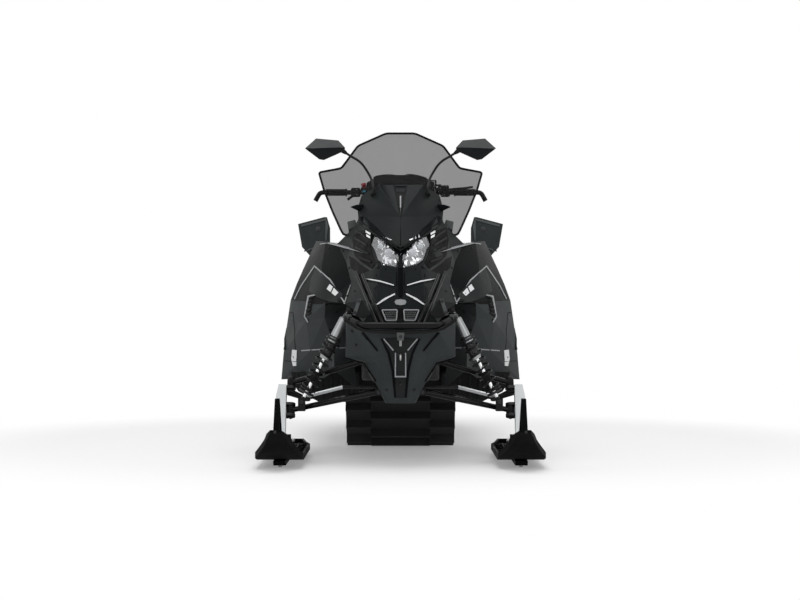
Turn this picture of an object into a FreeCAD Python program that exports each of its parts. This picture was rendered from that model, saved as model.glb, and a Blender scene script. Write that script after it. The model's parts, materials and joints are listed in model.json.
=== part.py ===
"""Two-up touring snowmobile with a wide rubber track, two steered skis, a tall windshield and a cargo rack.

Frame: origin on the ground under the middle of the machine's length, +Z up, the skis point to -Y,
the rider's left is +X. Lengths are millimetres, angles degrees.
"""

import FreeCAD
import Part
import Sketcher
import math
import os
import re

SIZES = {
    # skis
    "ski_stance": 1004,
    "ski_tip_station": -1690,
    "ski_tail_station": -625,
    "ski_width": 196,
    "ski_tip_width": 44,
    "ski_tail_width": 120,
    "ski_shovel_station": -1480,
    "ski_tip_rise": 135,
    "ski_plate": 10,
    "ski_base_height": 30,
    "ski_edge_height": 26,
    "ski_edge_wall": 9,
    "ski_keel_width": 52,
    "ski_keel_depth": 20,
    "ski_keel_front": -1450,
    "ski_keel_back": -680,
    "ski_rib_wall": 12,
    "ski_rib_length": 200,
    "ski_rib_top_length": 66,
    "ski_rib_height": 124,
    "ski_loop_height": 295,
    "ski_loop_width": 32,
    "ski_loop_top_width": 18,
    "ski_loop_bar": 15,
    "ski_loop_front": -1655,
    "ski_loop_top": -1580,
    "ski_loop_back": -1410,
    "ski_loop_heel": 24,
    "ski_loop_toe": 18,
    "runner_width": 14,
    "runner_depth": 10,
    "runner_front": -1420,
    "runner_back": -1000,
    "runner_slope": 20,
    # spindles and steering rods
    "ski_bolt_station": -1228,
    "ski_bolt_height": 100,
    "ski_bolt_radius": 7,
    "ski_side_gap": 0.5,
    "kingpin_offset": 470,
    "kingpin_station": -1175,
    "kingpin_height": 225,
    "caster_angle": 24,
    "ball_spacing": 126,
    "spindle_leg_width": 33,
    "spindle_leg_depth": 62,
    "spindle_leg_inner": 490,
    "spindle_foot_radius": 27,
    "spindle_foot_width": 44,
    "spindle_lug": 12,
    "spindle_lug_radius": 20,
    "spindle_swell": 11,
    "spindle_swell_level": 50,
    "spindle_nut_radius": 12,
    "spindle_nut": 9,
    "ball_height": 36,
    "ball_radius": 17,
    "ball_gap": 0.5,
    "pin_radius": 7,
    "pin_gap": 0.3,
    "steering_arm_back": 95,
    "steering_arm_in": 65,
    "steering_arm_level": 82,
    "steering_arm_plate": 9,
    "steering_arm_half": 14,
    "rod_eye_gap": 0.5,
    "rod_eye_height": 20,
    "rod_eye_radius": 14,
    "tie_rod_radius": 8,
    "tie_rod_knee_offset": 252,
    "tie_rod_knee_height": 318,
    # front arms and dampers
    "arm_tube_radius": 11,
    "bush_radius": 15,
    "bush_length": 40,
    "ear_wall": 6,
    "ear_reach": 45,
    "ear_gap": 0.5,
    "upper_pivot_offset": 165,
    "upper_pivot_height": 436,
    "lower_pivot_offset": 92,
    "lower_pivot_height": 308,
    "arm_front_station": -1272,
    "arm_back_station": -1110,
    "damper_station": -1235,
    "damper_top_offset": 216,
    "damper_top_height": 658,
    "damper_foot_offset": 420,
    "damper_foot_height": 266,
    "damper_body_radius": 22,
    "damper_body_start": 48,
    "damper_body_length": 190,
    "damper_rod_radius": 8,
    "damper_eye_radius": 14,
    "damper_eye_width": 26,
    "damper_saddle": 12,
    "spring_radius": 31,
    "spring_wire": 4,
    "spring_start": 150,
    "spring_length": 245,
    "spring_turns": 7,
    "collar_wall": 8,
    # track
    "track_width": 508,
    "track_belt": 10,
    "track_floor": 38,
    "lug_root": 18,
    "lug_tip": 10,
    "lug_pitch": 64,
    "lug_seat": 4,
    "centre_lug_width": 226,
    "side_lug_width": 118,
    "drive_station": -548,
    "drive_height": 385,
    "drive_radius": 92,
    "approach_station": -215,
    "approach_radius": 260,
    "rear_wheel_station": 1050,
    "rear_wheel_radius": 98,
    "carrier_station": 330,
    "carrier_height": 410,
    "carrier_radius": 68,
    # slide rails and wheels in the track
    "rail_offset": 132,
    "rail_wall": 12,
    "rail_depth": 88,
    "rail_heel": 29,
    "rail_window": 22,
    "rail_back": 1100,
    "seat_gap": 0.3,
    "bogie_radius": 66,
    "bogie_front": 80,
    "bogie_pitch": 350,
    "wheel_width": 22,
    "wheel_rim": 15,
    "wheel_hub_radius": 22,
    "wheel_web": 8,
    "wheel_offset": 178,
    "inner_wheel_offset": 70,
    "axle_radius": 10,
    "drive_shaft_radius": 16,
    "sprocket_width": 30,
    "sprocket_offset": 150,
    "sprocket_radius": 88,
    "sprocket_notch": 17,
    "sprocket_teeth": 9,
    "arm_bar_radius": 13,
    "front_link_top_station": -300,
    "front_link_top_height": 372,
    "front_link_foot_station": -30,
    "front_link_foot_height": 112,
    "rear_link_top_station": 480,
    "rear_link_top_height": 320,
    "rear_link_foot_station": 700,
    "rear_link_foot_height": 108,
    "link_offset": 100,
    # tunnel and running boards
    "tunnel_width": 560,
    "tunnel_wall": 3,
    "tunnel_top": 585,
    "tunnel_bottom": 320,
    "tunnel_bevel": 40,
    "tunnel_front": -720,
    "tunnel_back": 1480,
    "board_front": -560,
    "board_back": 1150,
    "board_outer": 430,
    "board_plate": 4,
    "board_lip": 12,
    "board_lip_height": 26,
    "board_slot_length": 88,
    "board_slot_width": 84,
    "board_slot_pitch": 120,
    "board_slot_count": 12,
    # bodywork: the shares below are of its width, length and height
    "nose_station": -1480,
    "body_width": 1000,
    "body_length": 1000,
    "belly_height": 250,
    "body_height": 1000,
    "panel_wall": 5,
    "panel_seam": 0.8,
    "lamp_depth": 60,
    "lamp_gap": 1.5,
    "lamp_parting": 6,
    "lamp_bulge": 7,
    # bulkhead and engine
    "bulkhead_front": -1300.5,
    "bulkhead_back": -1092,
    "bulkhead_plate": 8,
    "bulkhead_floor": 285,
    "bulkhead_top": 470,
    "bulkhead_low_half": 60,
    "bulkhead_high_half": 146,
    "tower_half": 224,
    "tower_top": 676,
    "tower_depth": 32,
    "tower_waist": 150,
    "tower_window": 90,
    "engine_width": 340,
    "engine_front": -1000,
    "engine_floor": 345,
    "engine_top": 640,
    # bars and controls
    "post_angle": 30,
    "post_radius": 15,
    "bearing_length": 40,
    "bearing_wall": 10,
    "brace_radius": 13,
    "brace_foot_offset": 205,
    "brace_setback": 120,
    "bar_radius": 11,
    "bar_straight": 352,
    "bar_bend": 24,
    "hook_reach": 398,
    "hook_drop": 40,
    "riser_half": 48,
    "riser_size": 44,
    "grip_radius": 16,
    "grip_start": 250,
    "grip_end": 350,
    "control_start": 186,
    "control_end": 232,
    "control_radius": 22,
    "lever_radius": 5,
    "lever_forward": 30,
    "lever_ahead": 36,
    "lever_out": 90,
    "lever_bend": 15,
    # windshield and mirrors
    "screen_wall": 4,
    "mirror_wall": 34,
    "mirror_lip": 10,
    "mirror_stalk_radius": 10,
    "mirror_boot": 30,
    # backrest posts, guards, rack and tail
    "post_offset": 120,
    "post_foot": 60,
    "grab_tube": 12,
    "grab_bend": 48,
    "guard_wall": 24,
    "rack_front": 900,
    "rack_back": 1450,
    "rack_half": 250,
    "rack_height": 650,
    "rack_tube": 12,
    "rack_slat_pitch": 90,
    "rack_slat_wall": 9,
    "rack_slat_count": 6,
    "rack_leg_radius": 9,
    "rack_bolt_radius": 5,
    "rack_bolt_inset": 30,
    "rack_pad": 22,
    "bumper_tube": 14,
    "bumper_half": 236,
    "bumper_shoulder": 165,
    "bumper_side_height": 632,
    "bumper_setback": 100,
    "bumper_bend": 60,
    "tail_bumper_back": 1640,
    "tail_bumper_height": 560,
    "flap_back": 1690,
    "flap_low": 190,
    "flap_half": 236,
    "flap_wall": 8,
    "hitch_hole_radius": 8,
    "hitch_half": 32,
    "hitch_hole_inset": 22,
    "hitch_back": 1690,
    "hitch_length": 100,
    "hitch_height": 500,
    "hitch_plate": 12,
    "lamp_half": 80,
    "lamp_height": 34,
    "lamp_wall": 24,
    "lamp_slope": 12,
    "overrun": 50,
}

doc = FreeCAD.newDocument("Snowmobile")
sheet = doc.addObject("Spreadsheet::Sheet", "Sizes")
for row, (name, size) in enumerate(SIZES.items(), start=1):
    sheet.set(f"A{row}", name)
    sheet.set(f"B{row}", str(size))
    sheet.setAlias(f"B{row}", name)
doc.recompute()


class Sheet:
    """The spreadsheet's sizes as attributes."""

    def __getattr__(self, name):
        return float(sheet.get(name))


S = Sheet()
NODES = []
X_AXIS = FreeCAD.Vector(1, 0, 0)
Y_AXIS = FreeCAD.Vector(0, 1, 0)
Z_AXIS = FreeCAD.Vector(0, 0, 1)
ORIGIN = FreeCAD.Vector(0, 0, 0)


def vec(x, y, z):
    return FreeCAD.Vector(x, y, z)


def number(text):
    """The value of a sum written in the sheet's names."""
    filled = re.sub(r"[a-z_]+", lambda found: str(sheet.get(found[0])), text)
    return float(FreeCAD.Units.Quantity(filled))


def bind(thing, prop, text):
    """Ties a property to an expression in the sheet's names."""
    thing.setExpression(prop, re.sub(r"[a-z_]+", lambda found: "Sizes." + found[0], text))


def keep(thing, label):
    thing.Label = label
    NODES.append(thing)
    return thing


def feature(label, shape):
    made = doc.addObject("Part::Feature", label)
    made.Shape = shape
    return keep(made, label)


def place(thing, x="", y="", z=""):
    for axis, text in (("x", x), ("y", y), ("z", z)):
        if text:
            bind(thing, "Placement.Base." + axis, text)


def outline_sketch(body, name, role, points):
    """A closed polygon sketch on one of the body's own planes, each corner tied to the sheet."""
    plane = [f for f in body.Origin.OriginFeatures if f.Role == role][0]
    sketch = body.newObject("Sketcher::SketchObject", name)
    sketch.AttachmentSupport = (plane, [""])
    sketch.MapMode = "FlatFace"
    corners = [FreeCAD.Vector(number(a), number(b), 0) for a, b in points]
    count = len(corners)
    for i, corner in enumerate(corners):
        sketch.addGeometry(Part.LineSegment(corner, corners[(i + 1) % count]), False)
    for i in range(count):
        sketch.addConstraint(Sketcher.Constraint("Coincident", i, 2, (i + 1) % count, 1))
    for i, (a, b) in enumerate(points):
        across = sketch.addConstraint(Sketcher.Constraint("DistanceX", -1, 1, i, 1, corners[i].x))
        bind(sketch, f"Constraints[{across}]", a)
        up = sketch.addConstraint(Sketcher.Constraint("DistanceY", -1, 1, i, 1, corners[i].y))
        bind(sketch, f"Constraints[{up}]", b)
    return sketch


def pad(name, role, points, length):
    """A body padded evenly to both sides of its sketch plane."""
    body = doc.addObject("PartDesign::Body", name)
    sketch = outline_sketch(body, name + "_outline", role, points)
    made = body.newObject("PartDesign::Pad", name + "_pad")
    made.Profile = sketch
    made.SideType = "Symmetric"
    bind(made, "Length", length)
    doc.recompute()
    return body


def combine(kind, name, parts):
    made = doc.addObject("Part::" + kind, name)
    if kind in ("Cut", "Common"):
        made.Base, made.Tool = parts
    elif kind == "Compound":
        made.Links = parts
    else:
        made.Shapes = parts
    return made


def mirrored(name, source):
    made = doc.addObject("Part::Mirroring", name)
    made.Source = source
    made.Normal = X_AXIS
    return made


def both_sides(label, source):
    return keep(combine("Compound", label, [source, mirrored(label + "_other", source)]), label)


def body_point(x_share, y_share, z_share):
    """A point of the bodywork from shares of its width, length and height."""
    return vec(
        x_share * S.body_width,
        S.nose_station + y_share * S.body_length,
        S.belly_height + z_share * S.body_height,
    )


def flat_face(corners):
    return Part.Face(Part.makePolygon(corners + corners[:1]))


def outward_cells(points, facets, inside):
    """The facets as triangles that turn anticlockwise seen from outside."""
    cells = []
    for facet in facets:
        for second, third in zip(facet[1:], facet[2:]):
            a, b, c = points[facet[0]], points[second], points[third]
            turn = (b - a).cross(c - a)
            outwards = turn.dot(a + b + c - inside * 3) > 0
            cells.append((facet[0], second, third) if outwards else (facet[0], third, second))
    return cells


def leans(points, cells):
    """The outward direction at each point, the mean of its facets' directions."""
    lean = {name: vec(0, 0, 0) for cell in cells for name in cell}
    for a, b, c in cells:
        turn = (points[b] - points[a]).cross(points[c] - points[a]).normalize()
        for name in (a, b, c):
            lean[name] += turn
    return {name: way.normalize() for name, way in lean.items()}


def closed_shell(cells, outer, inner):
    """A solid between facets and their moved copies."""
    edges = {pair for a, b, c in cells for pair in ((a, b), (b, c), (c, a))}
    faces = [flat_face([outer[n] for n in cell]) for cell in cells]
    faces += [flat_face([inner[n] for n in reversed(cell)]) for cell in cells]
    for a, b in sorted(edges):
        if (b, a) not in edges:
            faces.append(flat_face([outer[b], outer[a], inner[b]]))
            faces.append(flat_face([outer[a], inner[a], inner[b]]))
    solid = Part.Solid(Part.Shell(faces))
    if solid.Volume < 0:
        solid.reverse()
    return solid


def faceted(points, facets, inside, wall):
    """A shell of flat facets, thickened inwards by its wall."""
    cells = outward_cells(points, facets, inside)
    lean = leans(points, cells)
    return closed_shell(cells, points, {n: points[n] - lean[n] * wall for n in lean})


def drawn_in(points, cells, distance):
    """The points of a panel, each moved a little towards the middle of its own facets."""
    middles = {}
    for cell in cells:
        middle = (points[cell[0]] + points[cell[1]] + points[cell[2]]) / 3
        for name in cell:
            middles.setdefault(name, []).append(middle)
    drawn = {}
    for name, found in middles.items():
        mean = sum(found[1:], found[0]) / len(found)
        drawn[name] = points[name] + (mean - points[name]).normalize() * distance
    return drawn


def grid_facets(rows, columns):
    """Four-sided facets between the points (row, column) of a grid."""
    return [
        ((i, j), (i + 1, j), (i + 1, j + 1), (i, j + 1))
        for i in range(rows - 1)
        for j in range(columns - 1)
    ]


def grid_points(shares):
    return {(i, j): body_point(*at) for i, row in enumerate(shares) for j, at in enumerate(row)}


def mirror_points(points):
    """The points and their copies on the other side, the copies named with a prime."""
    copies = {name: p for name, p in points.items()}
    for name, p in points.items():
        copies[name + "'"] = vec(-p.x, p.y, p.z)
    return copies


def mirror_facets(facets):
    """Facets of one side and of the other; a point on the middle plane starts with 'mid'."""
    other = [tuple(n if n.startswith("mid") else n + "'" for n in f) for f in facets]
    return facets + other


def other_side(shape):
    return shape.mirror(ORIGIN, X_AXIS)


def box(x_low, x_high, y_low, y_high, z_low, z_high):
    return Part.makeBox(x_high - x_low, y_high - y_low, z_high - z_low, vec(x_low, y_low, z_low))


def rod(start, end, radius):
    return Part.makeCylinder(radius, (end - start).Length, start, end - start)


def bent_path(points, bend):
    """Straight runs joined by arcs of the given radius."""
    edges = []
    last = points[0]
    for before, corner, after in zip(points, points[1:], points[2:]):
        towards = (before - corner).normalize()
        away = (after - corner).normalize()
        half = towards.getAngle(away) / 2
        back = bend / math.tan(half)
        start, end = corner + towards * back, corner + away * back
        middle_way = (towards + away).normalize()
        middle = corner + middle_way * (bend / math.sin(half) - bend)
        edges.append(Part.LineSegment(last, start).toShape())
        edges.append(Part.Arc(start, middle, end).toShape())
        last = end
    edges.append(Part.LineSegment(last, points[-1]).toShape())
    return Part.Wire(edges)


def bent_tube(points, radius, bend):
    path = bent_path(points, bend)
    start = (points[1] - points[0]).normalize()
    ring = Part.Wire(Part.makeCircle(radius, points[0], start))
    return path.makePipeShell([ring], True, True)


def largest(shape):
    return max(shape.Solids, key=lambda solid: solid.Volume)


def fused(shapes):
    first, *rest = shapes
    return first.fuse(rest).removeSplitter() if rest else first


def tunnel():
    """The folded channel over the track, open below and behind."""
    half = "tunnel_width / 2"
    outer = [
        (f"0 - {half}", "tunnel_bottom"),
        (f"0 - {half}", "tunnel_top - tunnel_bevel"),
        (f"0 - {half} + tunnel_bevel", "tunnel_top"),
        (f"{half} - tunnel_bevel", "tunnel_top"),
        (half, "tunnel_top - tunnel_bevel"),
        (half, "tunnel_bottom"),
    ]
    inner = [
        (f"{half} - tunnel_wall", "tunnel_bottom"),
        (f"{half} - tunnel_wall", "tunnel_top - tunnel_bevel - tunnel_wall / 2"),
        (f"{half} - tunnel_bevel - tunnel_wall / 2", "tunnel_top - tunnel_wall"),
        (f"0 - {half} + tunnel_bevel + tunnel_wall / 2", "tunnel_top - tunnel_wall"),
        (f"0 - {half} + tunnel_wall", "tunnel_top - tunnel_bevel - tunnel_wall / 2"),
        (f"0 - {half} + tunnel_wall", "tunnel_bottom"),
    ]
    channel = pad("channel", "XZ_Plane", outer + inner, "tunnel_back - tunnel_front")
    place(channel, y="(tunnel_back + tunnel_front) / 2")
    closed = [(x, z if z != "tunnel_bottom" else "bulkhead_floor") for x, z in outer]
    plate = pad("front_plate", "XZ_Plane", closed, "2 * tunnel_wall")
    place(plate, y="tunnel_front + tunnel_wall")
    keep(combine("MultiFuse", "tunnel", [channel, plate]), "tunnel")


def running_boards():
    """Slotted boards with a folded outer lip, one each side of the tunnel."""
    plate = [
        ("tunnel_width / 2", "tunnel_bottom"),
        ("board_outer", "tunnel_bottom"),
        ("board_outer", "tunnel_bottom + board_lip_height"),
        ("board_outer - board_lip", "tunnel_bottom + board_lip_height"),
        ("board_outer - board_lip", "tunnel_bottom + board_plate"),
        ("tunnel_width / 2", "tunnel_bottom + board_plate"),
    ]
    board = pad("board", "XZ_Plane", plate, "board_back - board_front")
    place(board, y="(board_back + board_front) / 2")
    slots = []
    for i in range(int(S.board_slot_count)):
        slot = doc.addObject("Part::Box", f"board_slot_{i}")
        bind(slot, "Length", "board_slot_width")
        bind(slot, "Width", "board_slot_length")
        bind(slot, "Height", "board_plate + 2 * overrun")
        place(
            slot,
            x="(tunnel_width / 2 + board_outer - board_lip - board_slot_width) / 2",
            y=f"board_back - board_slot_pitch * {i + 1} + (board_slot_pitch - board_slot_length) / 2",
            z="tunnel_bottom - overrun",
        )
        slots.append(slot)
    cutter = combine("Compound", "board_slots", slots)
    both_sides("running_boards", combine("Cut", "slotted_board", [board, cutter]))


def belt_runs():
    """The track's inside line: each wheel's centre and radius, and the angle of the run that leaves it."""
    wheels = [
        (S.drive_station, S.drive_height, S.drive_radius),
        (S.approach_station, S.track_floor + S.track_belt + S.approach_radius, S.approach_radius),
        (S.rear_wheel_station, S.track_floor + S.track_belt + S.rear_wheel_radius, S.rear_wheel_radius),
        (S.carrier_station, S.carrier_height, S.carrier_radius),
    ]
    runs = []
    for (y, z, r), (next_y, next_z, next_r) in zip(wheels, wheels[1:] + wheels[:1]):
        span = math.hypot(next_y - y, next_z - z)
        runs.append(math.atan2(next_z - z, next_y - y) + math.asin((r - next_r) / span))
    return wheels, runs


def belt_path(offset):
    """The closed line round the wheels at a distance outside the belt's inner face."""
    wheels, runs = belt_runs()

    def at(wheel, angle):
        y, z, r = wheel
        return vec(0, y + (r + offset) * math.sin(angle), z - (r + offset) * math.cos(angle))

    edges = []
    for i, wheel in enumerate(wheels):
        arrive, leave = runs[i - 1], runs[i]
        turn = (leave - arrive) % (2 * math.pi)
        start, middle, end = at(wheel, arrive), at(wheel, arrive + turn / 2), at(wheel, leave)
        edges.append(Part.Arc(start, middle, end).toShape())
        edges.append(Part.LineSegment(end, at(wheels[(i + 1) % len(wheels)], leave)).toShape())
    return Part.Wire(edges)


def track():
    """The belt with lugs across its middle and at its sides in alternate rows."""
    outer, inner = belt_path(S.track_belt), belt_path(0)
    half = S.track_width / 2
    face = Part.Face([outer, inner])
    belt = face.extrude(X_AXIS * S.track_width)
    belt.translate(X_AXIS * -half)
    count = 2 * round(outer.Length / S.lug_pitch / 2)
    stations = outer.discretize(Number=count + 1)[:-1]
    lugs = []
    for i, here in enumerate(stations):
        ahead = (stations[(i + 1) % count] - stations[i - 1]).normalize()
        out = vec(0, ahead.z, -ahead.y)
        root, tip = ahead * (S.lug_root / 2), ahead * (S.lug_tip / 2)
        low, high = here - out * S.lug_seat, here + out * S.track_floor
        section = flat_face([low - root, low + root, high + tip, high - tip])
        if i % 2:
            lug = section.extrude(X_AXIS * S.centre_lug_width)
            lugs.append(lug.translated(X_AXIS * (-S.centre_lug_width / 2)))
        else:
            lug = section.extrude(X_AXIS * S.side_lug_width)
            lugs.append(lug.translated(X_AXIS * (half - S.side_lug_width)))
            lugs.append(lug.translated(X_AXIS * -half))
    feature("track", belt.fuse(lugs).removeSplitter())


def bogie_stations():
    return [S.bogie_front + i * S.bogie_pitch for i in range(3)]


def rail_floor():
    return S.track_floor + S.track_belt


def slide_rails():
    """Two deep rails that the track slides under, curved up at the nose, bored for the axles."""
    wheels, runs = belt_runs()
    y, z, r = wheels[1]
    clear = r - S.seat_gap

    def nose(radius, angle):
        return vec(0, y + radius * math.sin(angle), z - radius * math.cos(angle))

    inner = r - S.rail_depth
    low_back = vec(0, S.rear_wheel_station, z - clear)
    end = vec(0, S.rail_back, z - inner)
    heel = end - Z_AXIS * S.rail_heel
    edges = [
        Part.Arc(nose(clear, runs[0]), nose(clear, runs[0] / 2), nose(clear, 0)).toShape(),
        Part.LineSegment(nose(clear, 0), low_back).toShape(),
        Part.LineSegment(low_back, heel).toShape(),
        Part.LineSegment(heel, end).toShape(),
        Part.LineSegment(end, nose(inner, 0)).toShape(),
        Part.Arc(nose(inner, 0), nose(inner, runs[0] / 2), nose(inner, runs[0])).toShape(),
        Part.LineSegment(nose(inner, runs[0]), nose(clear, runs[0])).toShape(),
    ]
    rail = Part.Face(Part.Wire(edges)).extrude(X_AXIS * S.rail_wall)
    rail.translate(X_AXIS * (S.rail_offset - S.rail_wall / 2))
    bores = [(S.rear_wheel_station, rail_floor() + S.rear_wheel_radius)]
    bores += [(station, rail_floor() + S.seat_gap + S.bogie_radius) for station in bogie_stations()]
    for y, z in bores:
        rail = rail.cut(rod(vec(0, y, z), vec(S.track_width, y, z), S.axle_radius + S.seat_gap))
    for station in bogie_stations():
        middle = vec(0, station + S.bogie_pitch / 2, rail_floor() + S.rail_depth / 2)
        rail = rail.cut(rod(middle, middle + X_AXIS * S.track_width, S.rail_window))
    feature("slide_rails", Part.makeCompound([rail, other_side(rail)]))


def wheel(x, y, z, radius):
    """A wheel with a rubber tread and a dished web, centred at x."""
    half = S.wheel_width / 2
    tread = rod(vec(x - half, y, z), vec(x + half, y, z), radius)
    for side in (-1, 1):
        face, web = vec(x + side * half, y, z), vec(x + side * S.wheel_web / 2, y, z)
        dish = rod(face, web, radius - S.wheel_rim)
        tread = tread.cut(dish.cut(rod(face, web, S.wheel_hub_radius)))
    return tread


def idler_wheels():
    """The wheels that ride inside the track, each row on its own axle."""
    inner, gap = S.inner_wheel_offset, S.seat_gap
    rows = [(S.rear_wheel_station, rail_floor() + S.rear_wheel_radius, S.rear_wheel_radius - gap, inner)]
    rows += [(y, rail_floor() + gap + S.bogie_radius, S.bogie_radius, 0) for y in bogie_stations()]
    rows.append((S.carrier_station, S.carrier_height, S.carrier_radius - gap, inner))
    sets = []
    for y, z, radius, inner in rows:
        reach = S.wheel_offset + S.wheel_width
        if y == S.carrier_station:
            reach = S.tunnel_width / 2 - S.tunnel_wall
        axle = rod(vec(-reach, y, z), vec(reach, y, z), S.axle_radius)
        offsets = [S.wheel_offset, -S.wheel_offset] + ([inner, -inner] if inner else [])
        sets.append(axle.fuse([wheel(x, y, z, radius) for x in offsets]).removeSplitter())
    feature("idler_wheels", Part.makeCompound(sets))


def sprocket(x):
    """A toothed drive wheel on the drive shaft."""
    near, wide = vec(x, S.drive_station, S.drive_height), X_AXIS * S.sprocket_width
    disc = rod(near, near + wide, S.sprocket_radius)
    for i in range(int(S.sprocket_teeth)):
        angle = 2 * math.pi * i / S.sprocket_teeth
        notch = near + vec(0, math.cos(angle), math.sin(angle)) * S.sprocket_radius
        disc = disc.cut(rod(notch, notch + wide, S.sprocket_notch))
    return disc


def drive_shaft():
    """The cross shaft at the front of the tunnel with the sprockets that pull the track."""
    reach = S.tunnel_width / 2 - S.tunnel_wall
    start = vec(-reach, S.drive_station, S.drive_height)
    shaft = rod(start, start + X_AXIS * (2 * reach), S.drive_shaft_radius)
    starts = [S.sprocket_offset - S.sprocket_width / 2, -S.sprocket_offset - S.sprocket_width / 2]
    feature("drive_shaft", shaft.fuse([sprocket(x) for x in starts]).removeSplitter())


def suspension_links():
    """Two H-shaped frames that carry the rails from the tunnel."""
    frames = []
    for name in ("front", "rear"):
        top = (number(f"{name}_link_top_station"), number(f"{name}_link_top_height"))
        foot = (number(f"{name}_link_foot_station"), number(f"{name}_link_foot_height"))
        wide = S.tunnel_width / 2 - S.tunnel_wall
        narrow = S.rail_offset - S.rail_wall / 2
        pieces = [
            rod(vec(-wide, *top), vec(wide, *top), S.arm_bar_radius),
            rod(vec(-narrow, *foot), vec(narrow, *foot), S.arm_bar_radius),
        ]
        for x in (-S.link_offset, S.link_offset):
            pieces.append(rod(vec(x, *top), vec(x, *foot), S.arm_bar_radius))
        frames.append(fused(pieces))
    feature("suspension_links", Part.makeCompound(frames))


def cross_plate(name, points, thickness, station):
    """A flat plate across the machine: an outline in X and Z, even about its station."""
    made = pad(name, "XZ_Plane", points, thickness)
    place(made, y=station)
    return made


def bulkhead():
    """The front frame: two flared plates, a floor and a roof, with ears for the arm pivots."""
    outline = [
        ("0 - bulkhead_low_half", "bulkhead_floor"),
        ("bulkhead_low_half", "bulkhead_floor"),
        ("bulkhead_high_half", "bulkhead_top"),
        ("0 - bulkhead_high_half", "bulkhead_top"),
    ]
    length = "bulkhead_back - bulkhead_front"
    middle = "(bulkhead_back + bulkhead_front) / 2"
    outer = cross_plate("bulkhead_outer", outline, length, middle)
    inner = [
        ("0 - bulkhead_low_half + bulkhead_plate", "bulkhead_floor + bulkhead_plate"),
        ("bulkhead_low_half - bulkhead_plate", "bulkhead_floor + bulkhead_plate"),
        ("bulkhead_high_half - bulkhead_plate", "bulkhead_top - bulkhead_plate"),
        ("0 - bulkhead_high_half + bulkhead_plate", "bulkhead_top - bulkhead_plate"),
    ]
    hollow = cross_plate("bulkhead_hollow", inner, length + " + overrun", middle)
    shell = combine("Cut", "bulkhead_shell", [outer, hollow])
    doc.recompute()
    ears = []
    for end in ("upper", "lower"):
        x, z = number(f"{end}_pivot_offset"), number(f"{end}_pivot_height")
        for station in (S.arm_front_station, S.arm_back_station):
            reach = S.bush_length / 2 + S.ear_gap
            root = x - S.ear_reach
            for low in (station - reach - S.ear_wall, station + reach):
                around = (z - S.bush_radius, z + S.bush_radius)
                ears.append(box(root, x + S.bush_radius, low, low + S.ear_wall, *around))
            ears.append(rod(vec(x, station - reach, z), vec(x, station + reach, z), S.pin_radius))
    ears += [other_side(ear) for ear in ears]
    tray = box(
        -S.bulkhead_low_half, S.bulkhead_low_half,
        S.bulkhead_back, S.tunnel_front,
        S.bulkhead_floor, S.bulkhead_floor + S.bulkhead_plate,
    )
    body = shell.Shape.fuse([ear.cut(hollow.Shape) for ear in ears] + [tray]).removeSplitter()
    feature("bulkhead", body)


def tower():
    """Two plates over the bulkhead that hold the dampers' upper eyes between them."""
    gap = S.damper_eye_width / 2 + S.ear_gap
    outline = [
        (-S.bulkhead_high_half, S.bulkhead_top),
        (S.bulkhead_high_half, S.bulkhead_top),
        (S.tower_waist, S.tower_top - S.tower_window),
        (S.tower_half, S.tower_top - S.tower_depth),
        (S.tower_half, S.tower_top),
        (-S.tower_half, S.tower_top),
        (-S.tower_half, S.tower_top - S.tower_depth),
        (-S.tower_waist, S.tower_top - S.tower_window),
    ]
    face = flat_face([vec(x, 0, z) for x, z in outline])
    plates = []
    for low in (S.damper_station - gap - S.ear_wall, S.damper_station + gap):
        plates.append(face.extrude(Y_AXIS * S.ear_wall).translated(Y_AXIS * low))
    for side in (-1, 1):
        x = side * S.damper_top_offset
        start = vec(x, S.damper_station - gap, S.damper_top_height)
        plates.append(rod(start, start + Y_AXIS * (2 * gap), S.pin_radius))
    rib = box(
        -S.tower_waist / 2, S.tower_waist / 2,
        S.damper_station - gap, S.damper_station + gap,
        S.tower_top - S.tower_depth, S.tower_top,
    )
    feature("tower", fused(plates + [rib]))


def kingpin_point(level, x=0, back=0):
    """A point in the frame of the steering axis: along it, across it and behind it."""
    lean = math.radians(S.caster_angle)
    up = vec(0, math.sin(lean), math.cos(lean))
    rear = vec(0, math.cos(lean), -math.sin(lean))
    origin = vec(S.kingpin_offset, S.kingpin_station, S.kingpin_height)
    return origin + up * level + rear * back + X_AXIS * x


def bush(x, station, z):
    """A pivot bush with its bore, along the machine."""
    half = S.bush_length / 2
    return (
        rod(vec(x, station - half, z), vec(x, station + half, z), S.bush_radius),
        rod(vec(x, station - S.overrun, z), vec(x, station + S.overrun, z), S.pin_radius + S.pin_gap),
    )


def ball_joint(level):
    """The boss at an arm's outer end, turned on the steering axis, with the hole for its pin."""
    low, high = kingpin_point(level - S.ball_height / 2), kingpin_point(level + S.ball_height / 2)
    bore = rod(kingpin_point(level - S.overrun), kingpin_point(level + S.overrun), S.pin_radius + S.pin_gap)
    return rod(low, high, S.ball_radius), bore


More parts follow.
